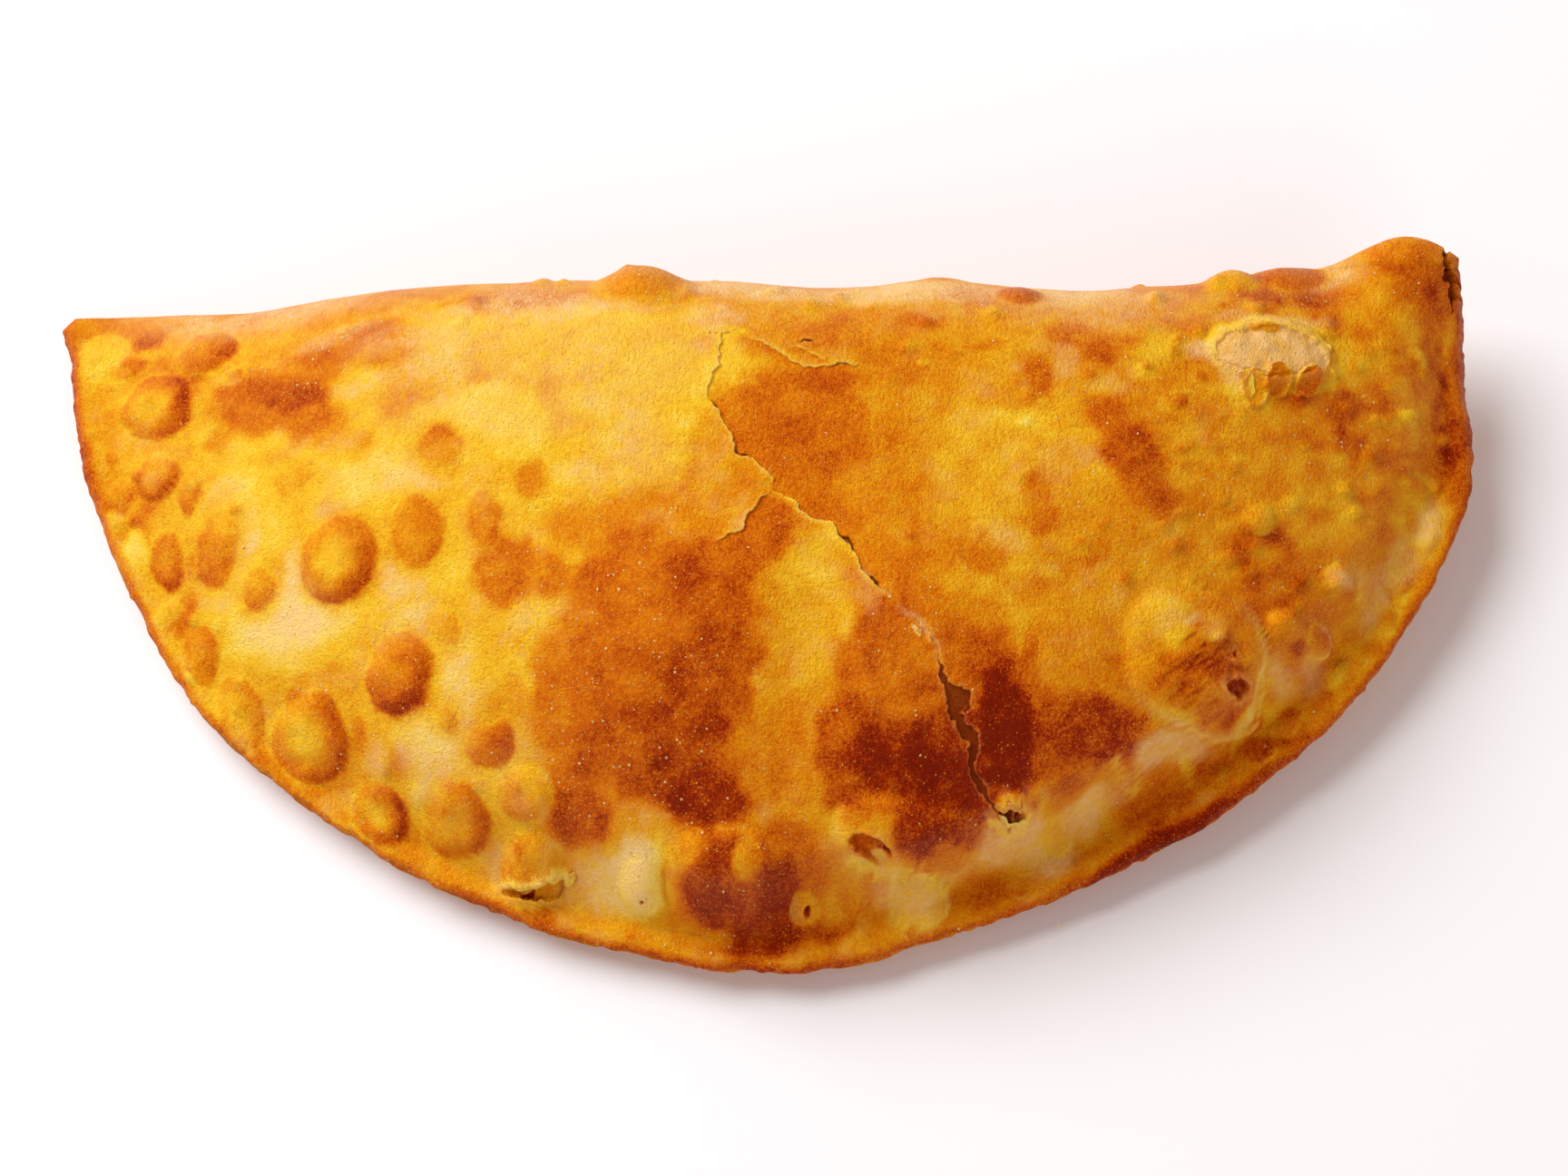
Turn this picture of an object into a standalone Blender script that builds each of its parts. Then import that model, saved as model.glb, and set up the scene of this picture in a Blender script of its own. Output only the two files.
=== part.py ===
# Potato cheburek: a thin round of dough folded over its filling into a half moon, sealed along the
# curved edge, fried until it blisters, and cracked along the top where steam broke out.
#
# One solid. The length runs along X, the straight fold lies at the back (+Y) and the sealed rim at
# the front (-Y). It rests on the flat underside at z = 0, and the origin is under the middle of its box.

import math

import bmesh
import bpy
import numpy as np

# Driving dimensions, in millimetres
MM = 0.001
RIM_CENTRE_Y = 44.0
RIM_RADII = (97.4, 97.0, 96.7, 94.6, 92.8, 91.9, 91.7, 91.2, 91.5, 93.4, 96.8, 98.3, 93.6)
FOLD_Y = 43.3
HALF_LENGTH = 96.0
DEPTH = 93.0
FRONT_Y = -49.0
CROWN_HEIGHT = 31.0
FOLD_ROLL = 15.0
CRUST = 3.0
EDGE_THICKNESS = 1.2
FOOT_WIDTH = 22.0
ORIGIN_SHIFT = (0.9, 0.05)

# Mesh density: quads along the fold and from the fold to the rim
TOP_QUADS = (100, 42)
UNDER_QUADS = (50, 21)

# Waves along the fold line: place along X, half width, height in plan
FOLD_WAVES = (
    (-73.0, 14.0, -0.6),
    (-40.0, 26.0, 0.9),
    (8.0, 9.0, -0.5),
    (22.0, 7.0, 0.6),
    (43.0, 13.0, -0.9),
    (68.0, 9.0, 2.2),
    (86.0, 9.0, 4.3),
)

# Broad swells and hollows of the upper crust: x, y, half length, half width, turn in degrees, height
SWELLS = (
    (-17.0, -12.0, 20.0, 13.0, 60.0, 0.9),
    (3.0, -14.0, 20.0, 6.5, 80.0, -1.3),
    (17.0, -19.0, 15.0, 10.0, 70.0, 1.3),
    (36.0, -17.0, 13.0, 10.0, 0.0, 1.2),
    (-24.0, 22.0, 20.0, 12.0, 10.0, 0.7),
    (8.0, 17.0, 16.0, 11.0, -20.0, 0.8),
    (-30.0, -36.0, 14.0, 5.0, -25.0, -0.8),
    (44.0, -29.0, 19.0, 3.5, 35.0, -1.0),
    (47.0, 12.0, 9.0, 5.0, -65.0, 0.5),
    (68.0, 28.0, 12.0, 8.0, 0.0, 0.8),
)

# Blisters of the upper crust, from the left end to the right: x, y, half length, half width, turn
BLISTERS = (
    (-93.0, 36.5, 4.2, 4.0, 0.0),
    (-83.9, 27.7, 5.6, 4.8, -10.0),
    (-76.8, 34.8, 4.2, 3.4, 10.0),
    (-83.2, 17.7, 3.4, 3.4, 0.0),
    (-89.5, 17.5, 3.0, 2.4, 40.0),
    (-82.3, 6.3, 4.6, 2.9, 95.0),
    (-87.4, 8.6, 4.4, 2.2, 110.0),
    (-74.3, 6.6, 5.8, 3.3, 84.0),
    (-78.4, 15.0, 3.0, 1.8, 90.0),
    (-76.8, -6.4, 3.8, 2.9, 100.0),
    (-68.2, 1.0, 3.6, 2.2, 95.0),
    (-70.7, -13.6, 5.3, 3.3, 115.0),
    (-61.0, -19.0, 6.2, 5.6, 130.0),
    (-56.9, 3.3, 6.2, 5.9, 100.0),
    (-46.6, 5.1, 4.9, 3.8, 95.0),
    (-43.1, 15.6, 3.8, 3.6, 90.0),
    (-37.3, 5.0, 4.2, 2.8, 95.0),
    (-48.8, -12.5, 5.5, 4.9, 100.0),
    (-42.6, -18.2, 2.2, 1.9, 90.0),
    (-36.2, -22.5, 3.6, 2.8, 0.0),
    (-52.0, -28.6, 4.4, 3.4, -25.0),
    (-41.8, -30.2, 4.9, 4.5, -20.0),
    (-31.8, -28.6, 4.0, 3.6, -20.0),
    (-30.6, -37.2, 4.4, 3.4, -20.0),
    (-16.8, -38.6, 2.8, 2.6, 0.0),
    (-8.6, -39.8, 9.0, 6.2, 0.0),
    (4.2, -42.3, 2.5, 2.2, 0.0),
    (19.0, -34.2, 9.5, 3.8, -8.0),
    (19.4, -40.9, 4.0, 3.2, 15.0),
    (56.6, -12.0, 9.0, 7.4, -15.0),
    (72.2, -6.4, 2.4, 2.0, 0.0),
    (67.4, -5.4, 2.4, 2.2, 0.0),
    (75.9, 0.6, 2.9, 2.7, 0.0),
    (83.2, -1.6, 3.0, 1.8, 70.0),
    (64.2, 6.5, 2.9, 2.3, 30.0),
    (88.0, 9.6, 4.2, 2.4, 65.0),
    (66.6, 29.1, 8.2, 5.2, 0.0),
)

# Blisters on the rolled fold at the back, and the lower ones behind it
FOLD_BLISTERS = (
    (-17.0, 39.6, 6.6, 4.0, 2.6),
    (33.0, 37.6, 4.0, 2.6, 1.2),
    (61.6, 42.4, 3.8, 2.4, 1.6),
    (69.5, 43.2, 5.0, 2.2, 1.2),
)
BLISTER_RISE = 0.36

# The crack where steam broke out: x, y and its width at the surface
CRACK = (
    (-8.6, 20.9, 0.35),
    (-5.6, 16.4, 0.5),
    (-4.3, 13.2, 0.6),
    (-0.2, 10.0, 0.7),
    (2.2, 8.2, 0.5),
    (6.8, 4.3, 0.5),
    (10.2, -0.4, 0.6),
    (13.4, -4.3, 0.8),
    (17.0, -7.9, 0.6),
    (20.2, -10.9, 0.8),
    (22.3, -16.0, 1.6),
    (24.0, -19.2, 1.9),
    (24.2, -21.3, 1.7),
    (25.9, -24.0, 1.5),
    (26.2, -27.6, 0.9),
    (28.4, -31.0, 1.0),
    (33.1, -30.7, 0.5),
)
CRACK_DEPTH = 2.4

# The gap between the two sheets' ends at the raised right corner
CORNER_SLIT = (
    (90.3, 44.6, 0.9),
    (90.8, 43.2, 1.3),
    (91.4, 40.4, 1.2),
    (92.1, 37.6, 0.5),
)
SLIT_DEPTH = 1.2
CUT_CLEAR = 6.0

# Torn blisters and pits: x, y, half length, half width, turn, depth below the crust
PITS = (
    (-30.9, -38.7, 2.6, 1.0, -8.0, 1.7),
    (12.7, -36.1, 2.9, 1.2, -14.0, 1.8),
    (30.4, -31.4, 2.0, 0.8, 5.0, 1.8),
    (61.0, -13.9, 1.9, 0.8, 0.0, 1.4),
    (66.2, 29.8, 6.4, 3.4, -6.0, 1.7),
)
PIT_SIDES = 9

CRUST_COLOUR = (0.62, 0.27, 0.03)
CRUST_ROUGHNESS = 0.45


def clear_scene():
    for old in list(bpy.data.objects):
        bpy.data.objects.remove(old, do_unlink=True)


def bell(value, centre, width):
    return np.exp(-((value - centre) / width) ** 2)


def ease(value):
    value = np.clip(value, 0.0, 1.0)
    return value * value * (3.0 - 2.0 * value)


def quarter_round(value):
    value = np.clip(value, 0.0, 1.0)
    return np.sqrt(1.0 - (1.0 - value) ** 2)


def rim_radius(angle):
    """Distance of the sealed rim from its centre; the angle runs from -X through -Y to +X."""
    radii = np.array(RIM_RADII)
    step = math.pi / (len(radii) - 1)
    place = np.clip(angle, 0.0, math.pi) / step
    first = np.clip(np.floor(place).astype(int), 0, len(radii) - 2)
    t = place - first
    before, here, there, after = (radii[np.clip(first + k, 0, len(radii) - 1)] for k in (-1, 0, 1, 2))
    linear = (there - before) * t
    square = (2.0 * before - 5.0 * here + 4.0 * there - after) * t ** 2
    cube = (3.0 * here - before - 3.0 * there + after) * t ** 3
    return here + 0.5 * (linear + square + cube)


def fold_line(x):
    return FOLD_Y + sum(height * bell(x, place, width) for place, width, height in FOLD_WAVES)


def seam_height(x, y):
    """Height of the level at which the two sheets meet: it lifts towards the fold and the ends."""
    across = x / HALF_LENGTH
    back = np.clip((y - FRONT_Y) / DEPTH, 0.0, 1.1)
    arch = 8.5 * back ** 2 * (1.0 - 0.75 * across ** 2)
    twist = 4.0 * across * back + 2.0 * across ** 2
    horn = 9.0 * bell(x, 87.0, 12.0) * bell(y, 46.0, 11.0)
    return 4.5 + arch + twist + horn


def crown_height(x):
    across = np.abs(x / HALF_LENGTH)
    left = 1.0 - 0.6 * across ** 1.6
    right = 1.0 - 0.3 * across ** 2.5
    return CROWN_HEIGHT * np.where(x < 0.0, left, right)


def plan_place(x, y):
    """Angle round the rim, distance in from the rim, and distance in from the fold."""
    angle = np.clip(np.arctan2(RIM_CENTRE_Y - y, -x), 0.0, math.pi)
    inward = rim_radius(angle) - np.hypot(x, RIM_CENTRE_Y - y)
    return angle, np.maximum(inward, 0.0), np.maximum(fold_line(x) - y, 0.0)


def half_crust(inward, behind):
    """Half the thickness of the sealed edge, rounded off towards the rim and the fold."""
    rounding = np.minimum(quarter_round(behind / 7.5), quarter_round(inward / 2.0))
    return 0.5 * EDGE_THICKNESS + 0.5 * (CRUST - EDGE_THICKNESS) * rounding


def upper_height(x, y):
    angle, inward, behind = plan_place(x, y)
    # The front right has a flat flange and then a steep shoulder; the rest swells from the rim.
    shoulder = np.exp(-((np.degrees(angle) - 125.0) / 32.0) ** 2)
    flange = 3.0 + 2.5 * shoulder
    steep_share = 0.12 + 0.33 * shoulder
    swell = np.clip((inward - flange) / 45.0, 0.0, 1.0)
    rise = steep_share * ease((inward - flange) / (9.0 - 3.0 * shoulder))
    rise = rise + (1.0 - steep_share) * (1.0 - (1.0 - swell) ** 2)
    seam = seam_height(x, y)
    body = (crown_height(x) - seam) * rise * quarter_round(behind / FOLD_ROLL)
    return seam + half_crust(inward, behind) + body


def lower_height(x, y):
    _, inward, behind = plan_place(x, y)
    belly = 1.0 - (1.0 - np.clip((inward - 2.0) / FOOT_WIDTH, 0.0, 1.0)) ** 2
    edge = seam_height(x, y) - half_crust(inward, behind)
    return edge * (1.0 - belly * quarter_round(behind / FOLD_ROLL))


def ellipse_distance(x, y, shape):
    """Squared distance from an ellipse's middle, 1 on its edge."""
    centre_x, centre_y, long_half, wide_half, turn = shape
    angle = math.radians(turn)
    along = (x - centre_x) * math.cos(angle) + (y - centre_y) * math.sin(angle)
    aside = (y - centre_y) * math.cos(angle) - (x - centre_x) * math.sin(angle)
    return (along / long_half) ** 2 + (aside / wide_half) ** 2


def dome(squared):
    return np.clip(1.0 - squared, 0.0, 1.0) ** 0.8


def upper_relief(x, y):
    """How far the crust swells out of its smooth form, along its own normal."""
    relief = np.zeros_like(x)
    for *shape, height in SWELLS:
        relief += height * np.exp(-1.2 * ellipse_distance(x, y, shape))
    blistered = np.zeros_like(x)
    for shape in BLISTERS:
        height = BLISTER_RISE * min(shape[2], shape[3])
        blistered = np.maximum(blistered, height * dome(ellipse_distance(x, y, shape)))
    for centre_x, centre_y, long_half, wide_half, height in FOLD_BLISTERS:
        shape = (centre_x, centre_y, long_half, wide_half, 0.0)
        blistered = np.maximum(blistered, height * dome(ellipse_distance(x, y, shape)))
    return relief + blistered


def grid_to_half_moon(u, v):
    """Lay a square from -1 to 1 over the half moon, its far side along the fold."""
    depth = 0.5 * (1.0 - v)
    down = -depth ** 1.35
    disc_x = u * np.sqrt(1.0 - 0.5 * down ** 2)
    disc_y = down * np.sqrt(1.0 - 0.5 * u ** 2)
    angle = np.arctan2(-disc_y, -disc_x)
    radius = np.hypot(disc_x, disc_y) * rim_radius(angle)
    x = -radius * np.cos(angle)
    y = RIM_CENTRE_Y - radius * np.sin(angle)
    return x, y + (fold_line(x) - RIM_CENTRE_Y) * (1.0 + down) ** 2


def add_sheet(bm, quads, height, flipped):
    """One sheet of the crust as a grid laid over the half moon; returns its vertices."""
    made = bmesh.ops.create_grid(bm, x_segments=quads[0], y_segments=quads[1], size=1.0)
    verts = made["verts"]
    flat = np.array([vert.co for vert in verts], dtype=float)
    x, y = grid_to_half_moon(flat[:, 0], flat[:, 1])
    z = height(x, y)
    for vert, place in zip(verts, np.stack([x, y, z], axis=1)):
        vert.co = place
    faces = {face for vert in verts for face in vert.link_faces}
    if flipped:
        bmesh.ops.reverse_faces(bm, faces=list(faces))
    return verts


def swell_crust(bm, verts):
    """Raise the swells and blisters along the normals of the upper sheet."""
    bm.normal_update()
    flat = np.array([vert.co for vert in verts], dtype=float)
    normals = np.array([vert.normal for vert in verts], dtype=float)
    relief = upper_relief(flat[:, 0], flat[:, 1])
    inner = np.array([not vert.is_boundary for vert in verts], dtype=float)
    for vert, place in zip(verts, flat + normals * (relief * inner)[:, None]):
        vert.co = place


def sew_rim(bm):
    """Join the borders of the two sheets, which makes the outer edge of the seal and the fold."""
    border = [edge for edge in bm.edges if edge.is_boundary]
    bmesh.ops.bridge_loops(bm, edges=border)
    bmesh.ops.triangulate(bm, faces=list(bm.faces))
    bmesh.ops.recalc_face_normals(bm, faces=list(bm.faces))


def to_metres(bm):
    for vert in bm.verts:
        vert.co.x = (vert.co.x + ORIGIN_SHIFT[0]) * MM
        vert.co.y = (vert.co.y + ORIGIN_SHIFT[1]) * MM
        vert.co.z = vert.co.z * MM


def new_object(name, bm):
    mesh = bpy.data.meshes.new(name)
    bm.to_mesh(mesh)
    bm.free()
    made = bpy.data.objects.new(name, mesh)
    bpy.context.scene.collection.objects.link(made)
    return made


def crust_surface(x, y):
    x = np.atleast_1d(np.asarray(x, dtype=float))
    y = np.atleast_1d(np.asarray(y, dtype=float))
    return upper_height(x, y) + upper_relief(x, y)


def crack_cutter(name, route, depth):
    """A wedge that follows a crack: open above the crust, an edge at its bottom."""
    bm = bmesh.new()
    path = np.array([(x, y) for x, y, _ in route])
    ahead = np.gradient(path, axis=0)
    ahead /= np.linalg.norm(ahead, axis=1)[:, None]
    aside = np.stack([-ahead[:, 1], ahead[:, 0]], axis=1)
    surface = crust_surface(path[:, 0], path[:, 1])
    sections = []
    for place, side, height, (_, _, width) in zip(path, aside, surface, route):
        spread = width * (CUT_CLEAR + depth) / depth
        left = place + side * 0.5 * spread
        right = place - side * 0.5 * spread
        top = height + CUT_CLEAR
        corners = ((*left, top), (*right, top), (*place, height - depth))
        sections.append([bm.verts.new(corner) for corner in corners])
    for first, second in zip(sections, sections[1:]):
        for k in range(3):
            after = (k + 1) % 3
            bm.faces.new((first[k], first[after], second[after], second[k]))
    bm.faces.new(sections[0])
    bm.faces.new(list(reversed(sections[-1])))
    bmesh.ops.triangulate(bm, faces=list(bm.faces))
    bmesh.ops.recalc_face_normals(bm, faces=list(bm.faces))
    to_metres(bm)
    return new_object(name, bm)


def pit_cutter(index, pit):
    """An uneven cone whose mouth is torn through the top of a blister."""
    centre_x, centre_y, long_half, wide_half, turn, depth = pit
    height = float(crust_surface(centre_x, centre_y)[0])
    clear = 4.0
    flare = 1.0 + 0.35 * clear / depth
    bm = bmesh.new()
    rings = []
    for level, scale in ((height - depth, 0.65), (height + clear, flare)):
        ring = []
        for k in range(PIT_SIDES):
            around = 2.0 * math.pi * k / PIT_SIDES
            ragged = scale * (1.0 + 0.13 * math.sin(3.0 * around + 1.7 * index))
            along = long_half * ragged * math.cos(around)
            aside = wide_half * ragged * math.sin(around)
            angle = math.radians(turn)
            x = centre_x + along * math.cos(angle) - aside * math.sin(angle)
            y = centre_y + along * math.sin(angle) + aside * math.cos(angle)
            ring.append(bm.verts.new((x, y, level)))
        rings.append(ring)
    for k in range(PIT_SIDES):
        after = (k + 1) % PIT_SIDES
        bm.faces.new((rings[0][k], rings[0][after], rings[1][after], rings[1][k]))
    bm.faces.new(list(reversed(rings[0])))
    bm.faces.new(rings[1])
    bmesh.ops.triangulate(bm, faces=list(bm.faces))
    bmesh.ops.recalc_face_normals(bm, faces=list(bm.faces))
    to_metres(bm)
    return new_object("pit_cutter_%d" % index, bm)


def crust_material():
    material = bpy.data.materials.new("fried_crust")
    material.use_nodes = True
    shader = material.node_tree.nodes["Principled BSDF"]
    shader.inputs["Base Color"].default_value = (*CRUST_COLOUR, 1.0)
    shader.inputs["Roughness"].default_value = CRUST_ROUGHNESS
    shader.inputs["Metallic"].default_value = 0.0
    return material


def pastry():
    bm = bmesh.new()
    upper = add_sheet(bm, TOP_QUADS, upper_height, flipped=False)
    swell_crust(bm, upper)
    add_sheet(bm, UNDER_QUADS, lower_height, flipped=True)
    sew_rim(bm)
    to_metres(bm)
    made = new_object("pastry", bm)
    made.data.materials.append(crust_material())
    return made


def cut_openings(body):
    cutters = bpy.data.collections.new("cutters")
    bpy.context.scene.collection.children.link(cutters)
    tools = [crack_cutter("crack_cutter", CRACK, CRACK_DEPTH)]
    tools.append(crack_cutter("slit_cutter", CORNER_SLIT, SLIT_DEPTH))
    tools += [pit_cutter(index, pit) for index, pit in enumerate(PITS)]
    for tool in tools:
        bpy.context.scene.collection.objects.unlink(tool)
        cutters.objects.link(tool)
        tool.hide_render = True
        tool.display_type = "WIRE"
    cut = body.modifiers.new("openings", "BOOLEAN")
    cut.operation = "DIFFERENCE"
    cut.operand_type = "COLLECTION"
    cut.collection = cutters
    cut.solver = "EXACT"


def main():
    clear_scene()
    body = pastry()
    cut_openings(body)
    body.data.shade_smooth()


main()
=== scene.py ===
import math

import bmesh
import bpy
import numpy as np
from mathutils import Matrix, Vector


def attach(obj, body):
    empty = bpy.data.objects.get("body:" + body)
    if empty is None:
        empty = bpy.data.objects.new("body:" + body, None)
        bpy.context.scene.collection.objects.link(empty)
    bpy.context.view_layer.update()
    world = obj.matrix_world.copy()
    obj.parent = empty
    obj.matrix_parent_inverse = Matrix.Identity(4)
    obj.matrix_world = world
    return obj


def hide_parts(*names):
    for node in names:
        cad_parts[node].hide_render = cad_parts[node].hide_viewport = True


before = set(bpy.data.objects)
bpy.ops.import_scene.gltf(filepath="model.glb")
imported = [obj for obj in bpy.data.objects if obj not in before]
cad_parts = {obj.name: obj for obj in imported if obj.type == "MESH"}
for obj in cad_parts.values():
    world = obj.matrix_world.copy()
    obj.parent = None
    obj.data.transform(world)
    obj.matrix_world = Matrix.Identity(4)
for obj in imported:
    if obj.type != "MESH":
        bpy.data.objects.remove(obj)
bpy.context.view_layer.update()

mm = 0.001
originShift = (0.9, 0.05)  # mm, from the middle of the rim's circle to the frame's origin


# Soft steps and noise used by the shape and by the browning

def ease(value):
    value = np.clip(value, 0.0, 1.0)
    return value * value * (3.0 - 2.0 * value)


def bell(value, centre, width):
    return np.exp(-((value - centre) / width) ** 2)


def quarterRound(value):
    value = np.clip(value, 0.0, 1.0)
    return np.sqrt(1.0 - (1.0 - value) ** 2)


def softNoise(x, y, size, seed):
    # smooth noise from -1 to 1 on a square lattice of that size in mm
    table = np.random.default_rng(seed).uniform(-1.0, 1.0, (64, 64))
    u = np.asarray(x) / size + 31.7
    v = np.asarray(y) / size + 17.3
    column = np.floor(u).astype(int)
    row = np.floor(v).astype(int)
    s = ease(u - column)
    t = ease(v - row)
    near = table[row % 64, column % 64] * (1.0 - s) + table[row % 64, (column + 1) % 64] * s
    far = table[(row + 1) % 64, column % 64] * (1.0 - s) + table[(row + 1) % 64, (column + 1) % 64] * s
    return near * (1.0 - t) + far * t


def layeredNoise(x, y, size, seed):
    coarse = softNoise(x, y, size, seed)
    middle = softNoise(x, y, size * 0.47, seed + 1)
    fine = softNoise(x, y, size * 0.21, seed + 2)
    return coarse * 0.57 + middle * 0.29 + fine * 0.14


# The smooth form: a half moon laid out round the middle of its fold, all in mm

form = {
    "centreY": 44.0,
    "rimRadii": (97.6, 97.0, 96.7, 94.7, 93.0, 92.2, 92.3, 91.6, 92.2, 94.3, 97.4, 98.0, 93.0),
    "meanRadius": 92.0,
    "foldY": 43.3,
    "foldWaves": (
        (-71.0, 11.0, -1.1), (-40.0, 26.0, 1.1), (8.0, 11.0, -1.0), (22.0, 6.0, 0.5),
        (41.0, 13.0, -1.4), (68.0, 9.0, 1.8), (86.0, 9.0, 4.3)),
    "halfLength": 96.0,
    "depth": 93.0,
    "frontY": -49.0,
    "crown": 31.0,
    "foldRoll": 15.0,
    "crust": 3.0,
    "edge": 1.5,
    "footWidth": 22.0,
}


def rimRadius(angle):
    radii = np.array(form["rimRadii"])
    step = math.pi / (len(radii) - 1)
    place = np.clip(angle, 0.0, math.pi) / step
    first = np.clip(np.floor(place).astype(int), 0, len(radii) - 2)
    t = place - first
    before, here, there, after = (radii[np.clip(first + k, 0, len(radii) - 1)] for k in (-1, 0, 1, 2))
    linear = (there - before) * t
    square = (2.0 * before - 5.0 * here + 4.0 * there - after) * t ** 2
    cube = (3.0 * here - before - 3.0 * there + after) * t ** 3
    return here + 0.5 * (linear + square + cube)


def foldLine(x):
    # the fold's y along its length
    return form["foldY"] + sum(height * bell(x, place, width) for place, width, height in form["foldWaves"])


def seamHeight(x, y):
    # where the two sheets meet: low at the front, high along the fold and at the raised corner
    across = x / form["halfLength"]
    back = np.clip((y - form["frontY"]) / form["depth"], 0.0, 1.1)
    arch = 8.5 * back ** 2 * (1.0 - 0.75 * across ** 2)
    twist = 4.0 * across * back + 2.0 * across ** 2
    horn = 9.0 * bell(x, 87.0, 12.0) * bell(y, 46.0, 11.0)
    return 4.5 + arch + twist + horn


def crownHeight(x):
    across = np.abs(x / form["halfLength"])
    left = 1.0 - 0.6 * across ** 1.6
    right = 1.0 - 0.3 * across ** 2.5
    return form["crown"] * np.where(x < 0.0, left, right)


def planPlace(x, y):
    # angle round the rim, distance in from the rim, distance in from the fold
    angle = np.clip(np.arctan2(form["centreY"] - y, -x), 0.0, math.pi)
    inward = rimRadius(angle) - np.hypot(x, form["centreY"] - y)
    return angle, np.maximum(inward, 0.0), np.maximum(foldLine(x) - y, 0.0)


def halfCrust(inward, behind):
    # half the crust's thickness, thinner towards the edges
    rounding = np.minimum(quarterRound(behind / 7.5), quarterRound(inward / 1.3))
    return 0.5 * form["edge"] + 0.5 * (form["crust"] - form["edge"]) * rounding


def upperHeight(x, y):
    angle, inward, behind = planPlace(x, y)
    shoulder = np.exp(-((np.degrees(angle) - 125.0) / 32.0) ** 2)  # flat flange, then a steep wall
    flange = 3.0 + 2.5 * shoulder
    steepShare = 0.12 + 0.33 * shoulder
    swell = np.clip((inward - flange) / 45.0, 0.0, 1.0)
    rise = steepShare * ease((inward - flange) / (9.0 - 3.0 * shoulder))
    rise = rise + (1.0 - steepShare) * (1.0 - (1.0 - swell) ** 2)
    seam = seamHeight(x, y)
    body = (crownHeight(x) - seam) * rise * quarterRound(behind / form["foldRoll"])
    return seam + halfCrust(inward, behind) + body


def lowerHeight(x, y):
    _, inward, behind = planPlace(x, y)
    belly = 1.0 - (1.0 - np.clip((inward - 2.0) / form["footWidth"], 0.0, 1.0)) ** 2
    edge = seamHeight(x, y) - halfCrust(inward, behind)
    return edge * (1.0 - belly * quarterRound(behind / form["foldRoll"]))


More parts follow.
